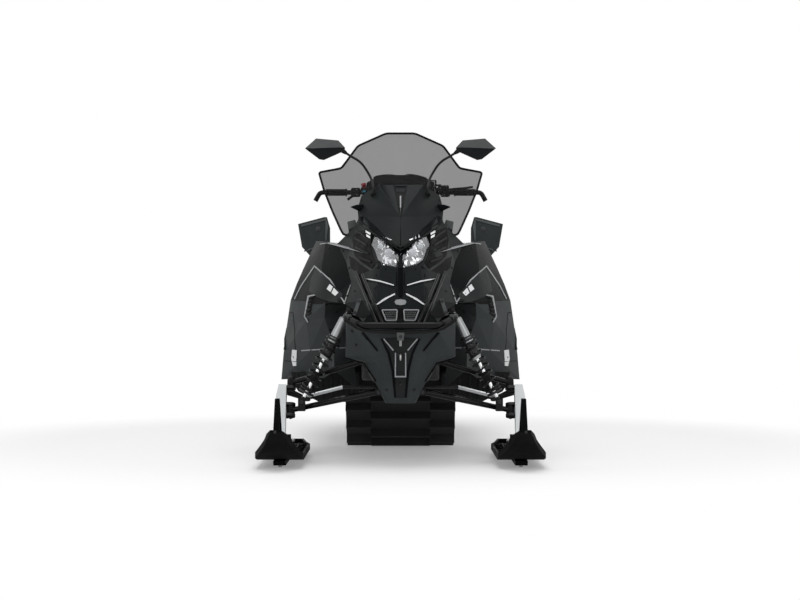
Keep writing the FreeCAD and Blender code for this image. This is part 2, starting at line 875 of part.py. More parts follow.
def arms(label, end, level):
    """A pair of forked arms from the bulkhead to the spindles' ball joints."""
    x, z = number(f"{end}_pivot_offset"), number(f"{end}_pivot_height")
    boss, bore = ball_joint(level)
    pieces, bores = [boss], [bore]
    for station in (S.arm_front_station, S.arm_back_station):
        ring, hole = bush(x, station, z)
        target = kingpin_point(level)
        pieces += [ring, rod(vec(x, station, z), target, S.arm_tube_radius)]
        bores.append(hole)
    if end == "lower":
        gap = S.damper_eye_width / 2 + S.ear_gap
        dx, dz = S.damper_foot_offset, S.damper_foot_height
        near, far = dx - S.bush_radius, dx + S.bush_radius
        floor = S.kingpin_height
        for low in (S.damper_station - gap - S.ear_wall, S.damper_station + gap):
            pieces.append(box(near, far, low, low + S.ear_wall, floor, dz + S.bush_radius))
        front = S.damper_station - gap - S.ear_wall
        pieces.append(box(near, far, front, S.kingpin_station, floor, floor + S.damper_saddle))
        start = vec(dx, S.damper_station - gap, dz)
        pieces.append(rod(start, start + Y_AXIS * (2 * gap), S.pin_radius))
    arm = fused(pieces)
    for hole in bores:
        arm = arm.cut(hole)
    feature(label, Part.makeCompound([arm, other_side(arm)]))


def damper_axis():
    top = vec(S.damper_top_offset, S.damper_station, S.damper_top_height)
    foot = vec(S.damper_foot_offset, S.damper_station, S.damper_foot_height)
    return top, foot, (foot - top).normalize()


def eye(at):
    half = Y_AXIS * (S.damper_eye_width / 2)
    bore = Y_AXIS * S.overrun
    hole = rod(at - bore, at + bore, S.pin_radius + S.pin_gap)
    return rod(at - half, at + half, S.damper_eye_radius), hole


def front_dampers():
    """Gas dampers from the tower to the lower arms, with the collars that hold their springs."""
    top, foot, way = damper_axis()
    top_eye, top_bore = eye(top)
    foot_eye, foot_bore = eye(foot)
    start = top + way * S.damper_body_start
    end = start + way * S.damper_body_length
    pieces = [top_eye, foot_eye, rod(top, foot, S.damper_rod_radius), rod(start, end, S.damper_body_radius)]
    for low in (S.spring_start - S.collar_wall, S.spring_start + S.spring_length):
        start = top + way * low
        pieces.append(rod(start, start + way * S.collar_wall, S.spring_radius + S.spring_wire))
    damper = fused(pieces).cut(top_bore).cut(foot_bore)
    feature("front_dampers", Part.makeCompound([damper, other_side(damper)]))


def front_springs():
    """The coil springs round the dampers."""
    top, foot, way = damper_axis()
    length = S.spring_length - 2 * (S.spring_wire + S.seat_gap)
    pitch = length / S.spring_turns
    helix = Part.makeHelix(pitch, length, S.spring_radius)
    turn = vec(0, 2 * math.pi * S.spring_radius, pitch)
    ring = Part.Wire(Part.makeCircle(S.spring_wire, vec(S.spring_radius, 0, 0), turn))
    spring = Part.Wire(helix).makePipeShell([ring], True, True)
    spring.Placement = FreeCAD.Placement(
        top + way * (S.spring_start + S.spring_wire + S.seat_gap),
        FreeCAD.Rotation(Z_AXIS, way),
    )
    feature("front_springs", Part.makeCompound([spring, other_side(spring)]))


def spindle():
    """The upright of one ski: a leg beside the steering axis, lugs to its ball joints, arm and foot."""
    inner = S.spindle_leg_inner - S.kingpin_offset
    half = S.spindle_leg_depth / 2
    foot = vec(S.ski_stance / 2, S.ski_bolt_station, S.ski_bolt_height)
    leg_mid, outer = inner + S.spindle_leg_width / 2, inner + S.spindle_leg_width
    offset = S.ball_height / 2 + S.ball_gap
    top = S.ball_spacing - offset
    leg_side = [
        kingpin_point(top, inner, -half),
        kingpin_point(top, inner, half),
        kingpin_point(-S.ball_height, inner, half),
        vec(S.spindle_leg_inner, foot.y + S.spindle_foot_radius, foot.z),
        vec(S.spindle_leg_inner, foot.y - S.spindle_foot_radius, foot.z),
        kingpin_point(-S.ball_height, inner, -half),
    ]
    leg = flat_face(leg_side).extrude(X_AXIS * S.spindle_leg_width)
    foot_half = S.spindle_foot_width / 2
    hub = rod(foot - X_AXIS * foot_half, foot + X_AXIS * foot_half, S.spindle_foot_radius)
    swell = [
        kingpin_point(top, outer, -half),
        kingpin_point(S.spindle_swell_level, outer + S.spindle_swell, -half),
        kingpin_point(-S.ball_height, outer, -half),
    ]
    depth = kingpin_point(0, 0, S.spindle_leg_depth) - kingpin_point(0)
    pieces = [leg, hub, flat_face(swell).extrude(depth)]
    rise = kingpin_point(S.spindle_lug) - kingpin_point(0)
    for low_level in (-offset - S.spindle_lug, offset, top - S.spindle_lug):
        low = kingpin_point(low_level)
        web = [
            kingpin_point(low_level, 0, -S.spindle_lug_radius),
            kingpin_point(low_level, leg_mid, -S.spindle_lug_radius),
            kingpin_point(low_level, leg_mid, S.spindle_lug_radius),
            kingpin_point(low_level, 0, S.spindle_lug_radius),
        ]
        pieces += [rod(low, low + rise, S.spindle_lug_radius), flat_face(web).extrude(rise)]
    for level in (0, S.ball_spacing):
        pieces.append(rod(kingpin_point(level - offset), kingpin_point(level + offset), S.pin_radius))
    nut = S.ball_spacing + offset
    pieces.append(rod(kingpin_point(nut), kingpin_point(nut + S.spindle_nut), S.spindle_nut_radius))
    arm = [
        kingpin_point(S.steering_arm_level, leg_mid, -S.spindle_lug_radius),
        kingpin_point(S.steering_arm_level, leg_mid, S.spindle_lug_radius),
        kingpin_point(S.steering_arm_level, -S.steering_arm_in + S.steering_arm_half, S.steering_arm_back),
        kingpin_point(S.steering_arm_level, -S.steering_arm_in - S.steering_arm_half, S.steering_arm_back),
        kingpin_point(S.steering_arm_level, -S.steering_arm_half, 0),
    ]
    lift = kingpin_point(S.steering_arm_plate) - kingpin_point(0)
    pieces.append(flat_face(arm).extrude(lift))
    end = kingpin_point(S.steering_arm_level, -S.steering_arm_in, S.steering_arm_back)
    pieces.append(rod(end, end + lift, S.steering_arm_half))
    body = fused(pieces)
    bolt = rod(foot - X_AXIS * S.overrun, foot + X_AXIS * S.overrun, S.ski_bolt_radius + S.pin_gap)
    return body.cut(bolt)


def tie_rods():
    """The centre link and both rods out to the steering arms, with their eyes."""
    level = S.steering_arm_level + S.steering_arm_plate + S.rod_eye_gap
    low = kingpin_point(level, -S.steering_arm_in, S.steering_arm_back)
    high = kingpin_point(level + S.rod_eye_height, -S.steering_arm_in, S.steering_arm_back)
    eye_middle = (low + high) / 2
    knee = vec(S.tie_rod_knee_offset, eye_middle.y, S.tie_rod_knee_height)
    half = [
        rod(low, high, S.rod_eye_radius),
        rod(eye_middle, knee, S.tie_rod_radius),
        Part.makeSphere(S.tie_rod_radius, knee),
    ]
    link = rod(knee, vec(-knee.x, knee.y, knee.z), S.tie_rod_radius)
    feature("tie_rods", fused(half + [link] + [other_side(piece) for piece in half]))


SKI_TOE_SHARES = [(0, 0.1), (0.35, 0.4), (0.7, 0.74), (1, 1)]
SKI_TAIL_RISE_SHARE = 0.06
SKI_TOE_WIDTH_SHARE = 0.27
SKI_LOOP_RISE_SHARE = 0.8
SKI_LOOP_INSIDE_RISE_SHARE = 0.7


def ski():
    """One ski: a dished plate with raised edges, a keel, the rib that carries the bolt and a front loop."""
    base, plate, edge = "ski_base_height", "ski_plate", "ski_edge_height"
    stations = [
        ("ski_tail_station", SKI_TAIL_RISE_SHARE),
        ("ski_tail_station - ski_width / 2", 0),
        ("ski_shovel_station + ski_width / 2", 0),
    ]
    for share, lift in SKI_TOE_SHARES:
        stations.append((f"ski_shovel_station * {1 - share} + ski_tip_station * {share}", lift))

    def rise(share, over):
        return f"{base} + ski_tip_rise * {share} + {over}"

    low = [(y, f"{base} + ski_tip_rise * {share}") for y, share in stations]
    floor = [(y, rise(share, plate)) for y, share in stations]
    rim = [(y, rise(share, edge)) for y, share in stations]
    rim[-1] = (rim[-1][0], rise(1, plate))
    side = pad("ski_side", "YZ_Plane", low + rim[::-1], "ski_width + overrun")
    above = [(y, z + " + overrun") for y, z in floor[::-1]]
    hollow = pad("ski_hollow", "YZ_Plane", floor + above, "ski_width + overrun")

    def plan(inset):
        half, toe = f"ski_width / 2 - {inset}", f"ski_width * {SKI_TOE_WIDTH_SHARE} - {inset}"
        tail, tip = f"ski_tail_width / 2 - {inset}", f"ski_tip_width / 2 - {inset}"
        edge_points = [
            (half, "ski_tail_station - ski_width"),
            (half, "ski_shovel_station"),
            (toe, "ski_shovel_station / 2 + ski_tip_station / 2"),
            (tip, f"ski_tip_station + {inset}"),
        ]
        right = [(tail, f"ski_tail_station - {inset}")] + edge_points
        return right + [("0 - (" + x + ")", y) for x, y in right[::-1]]

    tall = "2 * (ski_base_height + ski_tip_rise + overrun)"
    outline = pad("ski_outline", "XY_Plane", plan("0"), tall)
    pocket = pad("ski_pocket", "XY_Plane", plan("ski_edge_wall"), tall)
    blank = combine("Common", "ski_blank", [side, outline])
    well = combine("Common", "ski_well", [hollow, pocket])
    tray = combine("Cut", "ski_tray", [blank, well])
    keel = pad(
        "ski_keel",
        "YZ_Plane",
        [
            ("ski_keel_back", base),
            ("ski_keel_back - ski_keel_depth", f"{base} - ski_keel_depth"),
            ("ski_keel_front + ski_keel_depth", f"{base} - ski_keel_depth"),
            ("ski_keel_front", base),
        ],
        "ski_keel_width",
    )
    ribs = []
    for side_sign, name in ((1, "out"), (-1, "in")):
        rib = pad(
            f"ski_rib_{name}",
            "YZ_Plane",
            [
                ("ski_bolt_station - ski_rib_length / 2", f"{base} + {plate}"),
                ("ski_bolt_station - ski_rib_top_length / 2", "ski_rib_height"),
                ("ski_bolt_station + ski_rib_top_length / 2", "ski_rib_height"),
                ("ski_bolt_station + ski_rib_length / 2", f"{base} + {plate}"),
            ],
            "ski_rib_wall",
        )
        shift = "spindle_foot_width / 2 + ski_side_gap + ski_rib_wall / 2"
        place(rib, x=shift if side_sign > 0 else f"0 - ({shift})")
        ribs.append(rib)
    bolt = doc.addObject("Part::Cylinder", "ski_bolt")
    bind(bolt, "Radius", "ski_bolt_radius")
    bind(bolt, "Height", "spindle_foot_width + 2 * ski_side_gap + 2 * ski_rib_wall + 2 * ear_wall")
    bolt.Placement.Rotation = FreeCAD.Rotation(Y_AXIS, 90)
    bolt_end = "0 - spindle_foot_width / 2 - ski_side_gap - ski_rib_wall - ear_wall"
    place(bolt, x=bolt_end, y="ski_bolt_station", z="ski_bolt_height")
    loop_outer = [
        ("ski_loop_back", f"{base} + {plate}"),
        ("ski_loop_top + ski_loop_bar * 2", "ski_loop_height"),
        ("ski_loop_top - ski_loop_bar", "ski_loop_height"),
        ("ski_loop_front", rise(SKI_LOOP_RISE_SHARE, plate)),
    ]
    loop_inner = [
        ("ski_loop_back - ski_loop_heel", f"{base} + {plate}"),
        ("ski_loop_top + ski_loop_bar", "ski_loop_height - ski_loop_bar"),
        ("ski_loop_top - ski_loop_bar / 2", "ski_loop_height - ski_loop_bar"),
        ("ski_loop_front + ski_loop_toe", rise(SKI_LOOP_INSIDE_RISE_SHARE, plate)),
    ]
    loop_taper = [
        ("0 - ski_loop_width / 2", base),
        ("ski_loop_width / 2", base),
        ("ski_loop_top_width / 2", "ski_loop_height"),
        ("0 - ski_loop_top_width / 2", "ski_loop_height"),
    ]
    loop_blank = pad("loop_blank", "YZ_Plane", loop_outer, "ski_loop_width")
    loop_hole = pad("loop_hole", "YZ_Plane", loop_inner, "ski_loop_width + overrun")
    loop_sides = pad("loop_sides", "XZ_Plane", loop_taper, "0 - 2 * (ski_tip_station)")
    loop_bars = combine("Cut", "loop_bars", [loop_blank, loop_hole])
    loop = combine("Common", "ski_loop", [loop_bars, loop_sides])
    return combine("MultiFuse", "ski_made", [tray, keel, bolt, loop] + ribs)


def skis():
    """Left and right skis and the hardened runners under their keels."""
    made = ski()
    left = doc.addObject("Part::Compound", "ski_left")
    left.Links = [made]
    place(left, x="ski_stance / 2")
    keep(left, "ski_left")
    right = doc.addObject("Part::Compound", "ski_right")
    right.Links = [made]
    place(right, x="0 - ski_stance / 2")
    keep(right, "ski_right")
    for label, sign in (("ski_runner_left", ""), ("ski_runner_right", "0 - ")):
        runner = pad(
            label,
            "YZ_Plane",
            [
                ("runner_back", "ski_base_height - ski_keel_depth"),
                ("runner_back - runner_slope", "ski_base_height - ski_keel_depth - runner_depth"),
                ("runner_front + runner_slope", "ski_base_height - ski_keel_depth - runner_depth"),
                ("runner_front", "ski_base_height - ski_keel_depth"),
            ],
            "runner_width",
        )
        place(runner, x=f"{sign}ski_stance / 2")
        keep(runner, label)


def spindles():
    left = spindle()
    feature("spindle_left", left)
    feature("spindle_right", other_side(left))


def engine():
    """The engine as one closed block between the bulkhead and the tunnel."""
    made = doc.addObject("Part::Box", "engine")
    bind(made, "Length", "engine_width")
    bind(made, "Width", "tunnel_front - engine_front")
    bind(made, "Height", "engine_top - engine_floor")
    place(made, x="0 - engine_width / 2", y="engine_front", z="engine_floor")
    keep(made, "engine")


COWL_SHARES = {
    "mid_tip": (0, 0.095, 0.672),
    "mid_break": (0, 0.3, 0.804),
    "mid_top": (0, 0.53, 0.954),
    "pod_top": (0.098, 0.535, 0.956),
    "pod_shoulder": (0.174, 0.58, 0.91),
    "pod_side": (0.19, 0.55, 0.85),
    "pod_cheek": (0.162, 0.48, 0.814),
    "pod_lip": (0.093, 0.33, 0.75),
    "pod_low": (0.061, 0.21, 0.712),
    "brow_out": (0.183, 0.49, 0.786),
    "brow": (0.127, 0.225, 0.733),
    "mid_brow": (0, 0.078, 0.655),
    "lamp_top": (0.127, 0.205, 0.676),
    "lamp_edge": (0.115, 0.176, 0.66),
    "lamp_side": (0.096, 0.106, 0.61),
    "lamp_foot": (0.072, 0.074, 0.594),
    "mid_lamp": (0, 0.036, 0.58),
    "mid_chin": (0, 0, 0.45),
    "mid_lip": (0, 0, 0.352),
    "chin": (0.1, 0.035, 0.45),
    "lip": (0.155, 0.02, 0.352),
    "jaw": (0.2, 0.17, 0.408),
    "inner_front": (0.2235, 0.575, 0.6815),
    "inner_mid": (0.232, 0.69, 0.695),
    "inner_back": (0.242, 0.84, 0.705),
    "inner_end": (0.2152, 1.05, 0.655),
    "crest_front": (0.281, 0.58, 0.695),
    "crest_mid": (0.335, 0.69, 0.708),
    "crest_back": (0.385, 0.84, 0.715),
    "crest_end": (0.33, 1.05, 0.68),
    "flank_front": (0.237, 0.43, 0.612),
    "flank_mid": (0.348, 0.58, 0.6),
    "flank_back": (0.442, 0.8, 0.588),
    "flank_end": (0.4, 1.05, 0.58),
    "waist_front": (0.212, 0.3, 0.524),
    "waist_mid": (0.345, 0.47, 0.518),
    "waist_back": (0.471, 0.78, 0.519),
    "waist_end": (0.44, 1.05, 0.515),
    "seam_front": (0.24, 0.23, 0.434),
    "seam_fore": (0.325, 0.375, 0.434),
    "seam_mid": (0.4, 0.52, 0.44),
    "seam_back": (0.498, 0.78, 0.446),
    "seam_end": (0.462, 1.05, 0.446),
    "hip_fore": (0.33, 0.42, 0.37),
    "hip_mid": (0.415, 0.54, 0.36),
    "hip_back": (0.517, 0.79, 0.323),
    "hip_end": (0.49, 1.05, 0.35),
    "knee_fore": (0.29, 0.43, 0.25),
    "knee_mid": (0.4, 0.56, 0.22),
    "knee_back": (0.533, 0.82, 0.2),
    "knee_end": (0.505, 1.05, 0.2),
    "hem_fore": (0.288, 0.435, 0.14),
    "hem_mid": (0.34, 0.6, 0.1),
    "hem_back": (0.546, 0.88, 0.083),
    "hem_end": (0.546, 1.05, 0.083),
    "well_top": (0.235, 0.45, 0.43),
    "well_mid": (0.21, 0.455, 0.245),
    "well_low": (0.19, 0.475, 0.06),
}

COWL_PANELS = {
    "hood": [
        ("mid_top", "mid_break", "pod_top"),
        ("pod_top", "mid_break", "pod_shoulder"),
        ("pod_shoulder", "mid_break", "pod_cheek", "pod_side"),
        ("pod_cheek", "mid_break", "pod_lip"),
        ("pod_lip", "mid_break", "mid_tip", "pod_low"),
    ],
    "nose": [
        ("pod_side", "pod_cheek", "brow_out"),
        ("pod_cheek", "pod_lip", "brow", "brow_out"),
        ("pod_lip", "pod_low", "brow"),
        ("pod_low", "mid_tip", "mid_brow", "brow"),
        ("brow_out", "brow", "lamp_top"),
        ("brow_out", "lamp_top", "flank_front", "crest_front"),
        ("brow_out", "crest_front", "inner_front"),
        ("lamp_top", "lamp_edge", "waist_front", "flank_front"),
        ("lamp_edge", "lamp_side", "chin", "waist_front"),
        ("lamp_side", "lamp_foot", "chin"),
        ("lamp_foot", "mid_lamp", "mid_chin", "chin"),
        ("waist_front", "chin", "seam_front"),
        ("seam_front", "chin", "jaw"),
        ("jaw", "chin", "lip"),
        ("chin", "mid_chin", "mid_lip", "lip"),
    ],
    "upper_side": [
        ("inner_front", "crest_front", "crest_mid", "inner_mid"),
        ("inner_mid", "crest_mid", "crest_back", "inner_back"),
        ("inner_back", "crest_back", "crest_end", "inner_end"),
        ("crest_front", "flank_front", "flank_mid", "crest_mid"),
        ("crest_mid", "flank_mid", "flank_back", "crest_back"),
        ("crest_back", "flank_back", "flank_end", "crest_end"),
        ("flank_front", "waist_front", "waist_mid", "flank_mid"),
        ("flank_mid", "waist_mid", "waist_back", "flank_back"),
        ("flank_back", "waist_back", "waist_end", "flank_end"),
        ("waist_front", "seam_front", "seam_fore", "waist_mid"),
        ("seam_fore", "seam_mid", "waist_mid"),
        ("waist_mid", "seam_mid", "seam_back", "waist_back"),
        ("waist_back", "seam_back", "seam_end", "waist_end"),
    ],
    "lower_side": [
        ("seam_fore", "hip_fore", "hip_mid", "seam_mid"),
        ("seam_mid", "hip_mid", "hip_back", "seam_back"),
        ("seam_back", "hip_back", "hip_end", "seam_end"),
        ("hip_fore", "knee_fore", "knee_mid", "hip_mid"),
        ("hip_mid", "knee_mid", "knee_back", "hip_back"),
        ("hip_back", "knee_back", "knee_end", "hip_end"),
        ("knee_fore", "hem_fore", "hem_mid", "knee_mid"),
        ("knee_mid", "hem_mid", "hem_back", "knee_back"),
        ("knee_back", "hem_back", "hem_end", "knee_end"),
        ("seam_fore", "well_top", "hip_fore"),
        ("well_top", "well_mid", "knee_fore", "hip_fore"),
        ("well_mid", "well_low", "hem_fore", "knee_fore"),
    ],
}

COWL_INSIDE_SHARES = (0, 0.6, 0.35)
SIDE_INSIDE_SHARES = (0.25, 0.6, 0.35)

LAMP_RIM = ["mid_lamp", "lamp_foot", "lamp_side", "lamp_edge", "lamp_top", "brow", "mid_brow"]

PAN_SHARES = [
    [(0, 0.018, 0.325), (0.15, 0.022, 0.33), (0.228, 0.145, 0.358), (0.232, 0.2, 0.36)],
    [(0, 0.035, 0.22), (0.118, 0.048, 0.218), (0.226, 0.152, 0.207), (0.232, 0.1806, 0.207)],
    [(0, 0.055, 0.18), (0.092, 0.075, 0.18), (0.156, 0.157, 0.183), (0.16, 0.1806, 0.183)],
    [(0, 0.085, 0.1), (0.066, 0.1, 0.102), (0.106, 0.16, 0.106), (0.11, 0.1806, 0.106)],
    [(0, 0.145, 0.012), (0.045, 0.15, 0.012), (0.06, 0.162, 0.012), (0.064, 0.1806, 0.012)],
]

PAN_INSIDE_SHARES = (0, 0.5, 0.2)


def cowl_points():
    return mirror_points({name: body_point(*at) for name, at in COWL_SHARES.items()})


def cowl():
    """The bodywork: one faceted surface, split into its panels along narrow seams."""
    points = cowl_points()
    inside, beside = body_point(*COWL_INSIDE_SHARES), body_point(*SIDE_INSIDE_SHARES)
    panels = {}
    for name, facets in COWL_PANELS.items():
        if name in ("hood", "nose"):
            panels[name] = outward_cells(points, mirror_facets(facets), inside)
        else:
            cells = outward_cells(points, facets, beside)
            panels[name + "_left"] = cells
            panels[name + "_right"] = [tuple(n + "'" for n in reversed(cell)) for cell in cells]
    lean = leans(points, [cell for cells in panels.values() for cell in cells])
    shells = {}
    for name, cells in panels.items():
        outer = drawn_in(points, cells, S.panel_seam / 2)
        shells[name] = closed_shell(cells, outer, {n: outer[n] - lean[n] * S.panel_wall for n in outer})
    around = [shell for name, shell in shells.items() if name != "nose"]
    shells["nose"] = shells["nose"].cut(around)
    for name, shell in shells.items():
        feature(name, shell)
    return shells["nose"]


def headlamps(nose):
    """The pair of slanted lamps in the openings of the nose."""
    points = cowl_points()
    rim = [points[name] for name in LAMP_RIM]
    middle = sum(rim[1:], rim[0]) / len(rim)
    outline = {i: p + (middle - p).normalize() * S.lamp_gap for i, p in enumerate(rim)}
    for i, name in enumerate(LAMP_RIM):
        if name.startswith("mid"):
            outline[i].x = S.lamp_parting
    around = list(outline)
    centre = len(around)
    outline[centre] = middle - Y_AXIS * S.lamp_bulge
    facets = [(i, j, centre) for i, j in zip(around, around[1:] + around[:1])]
    cells = outward_cells(outline, facets, body_point(*COWL_INSIDE_SHARES))
    back = {i: p + Y_AXIS * S.lamp_depth for i, p in outline.items()}
    lamp = closed_shell(cells, outline, back)
    feature("headlamps", Part.makeCompound([largest(lamp.cut(nose)), largest(other_side(lamp).cut(nose))]))


def belly_pan():
    """The lower cowl in front of the bulkhead, with its overhanging wings."""
    rows = []
    for row in PAN_SHARES:
        rows.append([(-x, y, z) for x, y, z in row[:0:-1]] + row)
    facets = grid_facets(len(rows), len(rows[0]))
    feature("belly_pan", faceted(grid_points(rows), facets, body_point(*PAN_INSIDE_SHARES), S.panel_wall))


def bumper():
    """The bowed tube across the nose, tied back to the tower."""
    face = S.damper_station - S.damper_eye_width / 2 - S.ear_gap - S.ear_wall
    half = [
        vec(S.tower_waist + S.bumper_tube, face, S.tower_top - S.tower_depth - S.bumper_tube),
        vec(S.bumper_half, S.nose_station + S.bumper_setback, S.bumper_side_height),
        vec(S.bumper_shoulder, S.nose_station - S.bumper_tube, S.tunnel_top + S.bumper_tube / 2),
    ]
    points = half + [vec(-p.x, p.y, p.z) for p in half[::-1]]
    behind = box(-S.bumper_half, S.bumper_half, face, face + S.overrun, S.bulkhead_top, S.tower_top)
    feature("front_bumper", bent_tube(points, S.bumper_tube, S.bumper_bend).cut(behind))


SCREEN_FOOT_SHARES = (0, 0.505, 0.73)
SCREEN_TOP_SHARES = (0, 0.815, 1.206)
SCREEN_HALF_SHARES = (0.38, 0.595, 0.73)
SCREEN_SPARE_SHARE = 0.1
SCREEN_SHARES = [
    (0.434, 0.43),
    (0.474, 0.25),
    (0.487, 0.063),
    (0.584, -0.004),
    (0.674, 0.01),
    (0.705, 0.059),
    (0.808, 0.237),
    (0.91, 0.447),
    (0.976, 0.62),
    (0.71, 0.668),
    (0.518, 0.878),
    (0.174, 1),
]


def windshield(nose):
    """A tall curved screen with side ears and wings that flank the pod."""
    foot, side = body_point(*SCREEN_FOOT_SHARES), body_point(*SCREEN_HALF_SHARES)
    lean = body_point(*SCREEN_TOP_SHARES) - foot
    spare = lean * SCREEN_SPARE_SHARE
    middle, end = foot - spare, side - spare
    start = vec(-end.x, end.y, end.z)
    arc = Part.Arc(start, middle, end).toShape()
    depth = vec(0, S.screen_wall, 0)
    back = Part.Arc(start + depth, middle + depth, end + depth).toShape()
    ends = [Part.LineSegment(start, start + depth).toShape(), Part.LineSegment(end, end + depth).toShape()]
    section = Part.Face(Part.Wire([arc, ends[1], back, ends[0]]))
    sheet_solid = section.extrude(lean + spare * 2)
    outline = []
    for x_share, z_share in SCREEN_SHARES:
        outline.append(vec(x_share * side.x, S.nose_station, foot.z + z_share * lean.z))
    outline += [vec(-p.x, p.y, p.z) for p in outline[::-1]]
    prism = flat_face(outline).extrude(Y_AXIS * (2 * S.body_length))
    feature("windshield", largest(sheet_solid.common(prism).cut(nose)))


MIRROR_STATION_SHARE = 0.58

MIRROR_RIM_SHARES = {
    "tip": (0.423, 1.119),
    "top_out": (0.374, 1.162),
    "top_in": (0.275, 1.154),
    "in_high": (0.246, 1.122),
    "in_low": (0.248, 1.108),
    "low_in": (0.34, 1.068),
    "low_out": (0.361, 1.071),
}

MIRROR_RIDGE_SHARES = {"ridge_out": (0.384, 1.113), "ridge_in": (0.274, 1.122)}

MIRROR_FACETS = [
    ("tip", "top_out", "ridge_out"),
    ("top_out", "top_in", "ridge_in", "ridge_out"),
    ("top_in", "in_high", "ridge_in"),
    ("in_high", "in_low", "ridge_in"),
    ("in_low", "low_in", "ridge_in"),
    ("low_in", "low_out", "ridge_out", "ridge_in"),
    ("low_out", "tip", "ridge_out"),
]

MIRROR_STALK_SHARES = [
    (0.182, 0.597, 1.058),
    (0.225, 0.597, 1.09),
    (0.3, 0.597, 1.115),
]

MIRROR_FOOT_SHARES = {"pod_top": 0.45, "pod_shoulder": 0.4, "mid_break": 0.15}


BAR_SHARES = (0, 1.06, 0.95)
POST_LENGTH_SHARE = 0.4
BEARING_SHARE = 0.3


def post_axis():
    lean = math.radians(S.post_angle)
    return vec(0, math.sin(lean), math.cos(lean))


def bar_centre():
    return body_point(*BAR_SHARES)


def steering_post():
    """The leaning post with the clamp that holds the bar."""
    up = post_axis()
    top = bar_centre()
    foot = top - up * (POST_LENGTH_SHARE * S.body_height)
    post = rod(foot, top, S.post_radius)
    reach = S.riser_size / 2
    block = box(-S.riser_half, S.riser_half, top.y - reach, top.y + reach, top.z - reach, top.z + reach)
    bore = rod(top - X_AXIS * S.riser_half, top + X_AXIS * S.riser_half, S.bar_radius)
    feature("steering_post", post.fuse(block).cut(bore).removeSplitter())


def bearing_and_braces():
    """The tubes that rise from the tower and the tunnel to the bearing of the steering post."""
    up = post_axis()
    middle = bar_centre() - up * (BEARING_SHARE * S.body_height)
    low, high = middle - up * (S.bearing_length / 2), middle + up * (S.bearing_length / 2)
    ring = rod(low, high, S.post_radius + S.bearing_wall)
    bore = rod(low - up * S.overrun, high + up * S.overrun, S.post_radius + S.pin_gap)
    tower_back = S.damper_station + S.damper_eye_width / 2 + S.ear_gap + S.ear_wall
    foot = 2 * S.brace_radius
    tubes = []
    for side in (-1, 1):
        x = side * (S.tower_waist - foot)
        z = S.tower_top - S.tower_depth
        tubes.append(rod(middle, vec(x, tower_back + S.brace_radius, z + S.brace_radius), S.brace_radius))
        tubes.append(box(x - foot / 2, x + foot / 2, tower_back, tower_back + foot, z, z + foot))
        x = side * S.brace_foot_offset
        y = S.tunnel_front + S.brace_setback
        tubes.append(rod(middle, vec(x, y, S.tunnel_top + S.brace_radius), S.brace_radius))
        half = S.brace_radius
        tubes.append(box(x - half, x + half, y - half, y + half, S.tunnel_top, S.tunnel_top + foot))
    feature("steering_braces", ring.fuse(tubes).cut(bore).removeSplitter())


def handlebar():
    """The bar with its hooked ends."""
    centre = bar_centre()
    half = [
        vec(S.hook_reach, centre.y, centre.z - S.hook_drop),
        vec(S.bar_straight + S.bar_bend, centre.y, centre.z),
    ]
    points = half + [vec(-p.x, p.y, p.z) for p in half[::-1]]
    feature("handlebar", bent_tube(points, S.bar_radius, S.bar_bend))


def grips():
    """The rubber grips."""
    centre = bar_centre()
    grip = rod(centre + X_AXIS * S.grip_start, centre + X_AXIS * S.grip_end, S.grip_radius)
    grip = grip.cut(rod(centre, centre + X_AXIS * S.hook_reach, S.bar_radius + S.seat_gap))
    feature("grips", Part.makeCompound([grip, other_side(grip)]))


def controls():
    """The control housings inboard of the grips, with the brake lever and the throttle lever."""
    centre = bar_centre()
    housing = rod(centre + X_AXIS * S.control_start, centre + X_AXIS * S.control_end, S.control_radius)
    start = centre + vec(S.control_end - S.lever_radius * 2, -S.control_radius + S.lever_radius, 0)
    lever = bent_tube(
        [start, start - Y_AXIS * S.lever_forward, start + vec(S.lever_out, -S.lever_ahead, 0)],
        S.lever_radius,
        S.lever_bend,
    )
    left = housing.fuse(lever).cut(rod(centre, centre + X_AXIS * S.hook_reach, S.bar_radius + S.seat_gap))
    feature("controls", Part.makeCompound([left, other_side(left)]))


def mirrors():
    """The mirror heads and their stalks, standing on the cowl before the windshield."""
    head = {}
    for name, (x, z) in MIRROR_RIDGE_SHARES.items():
        head[name] = body_point(x, MIRROR_STATION_SHARE, z)
    back = head["ridge_in"].y + S.mirror_wall
    for name, (x, z) in MIRROR_RIM_SHARES.items():
        head[name] = body_point(x, MIRROR_STATION_SHARE, z) + Y_AXIS * (S.mirror_wall - S.mirror_lip)
    glass = {name: vec(p.x, back, p.z) for name, p in head.items()}
    middle = sum(glass.values(), ORIGIN) / len(glass)
    solid = closed_shell(outward_cells(head, MIRROR_FACETS, middle), head, glass)
    points = cowl_points()
    a, b, c = (points[name] for name in MIRROR_FOOT_SHARES)
    away = (b - a).cross(c - a).normalize()
    away = away if away.z > 0 else -away
    foot = away * S.seat_gap
    for name, share in MIRROR_FOOT_SHARES.items():
        foot += points[name] * share
    route = [foot, foot + away * S.mirror_boot]
    route += [body_point(*at) for at in MIRROR_STALK_SHARES]
    stalk = bent_tube(route, S.mirror_stalk_radius, S.mirror_boot)
    mirror = solid.fuse(stalk).removeSplitter()
    feature("mirrors", Part.makeCompound([mirror, other_side(mirror)]))


DASH_SHARES = [
    [(0.15, 0.62, 0.85), (0.1, 0.7, 0.955), (0.07, 0.705, 0.962), (0.04, 0.706, 0.967)],
    [(0.17, 0.735, 0.86), (0.152, 0.745, 0.977), (0.107, 0.742, 1.002), (0.062, 0.74, 1.011)],
    [(0.16, 0.87, 0.87), (0.15, 0.905, 0.985), (0.1, 0.905, 0.992), (0.05, 0.905, 0.996)],
]

DASH_INSIDE_SHARES = (0, 0.76, 0.8)


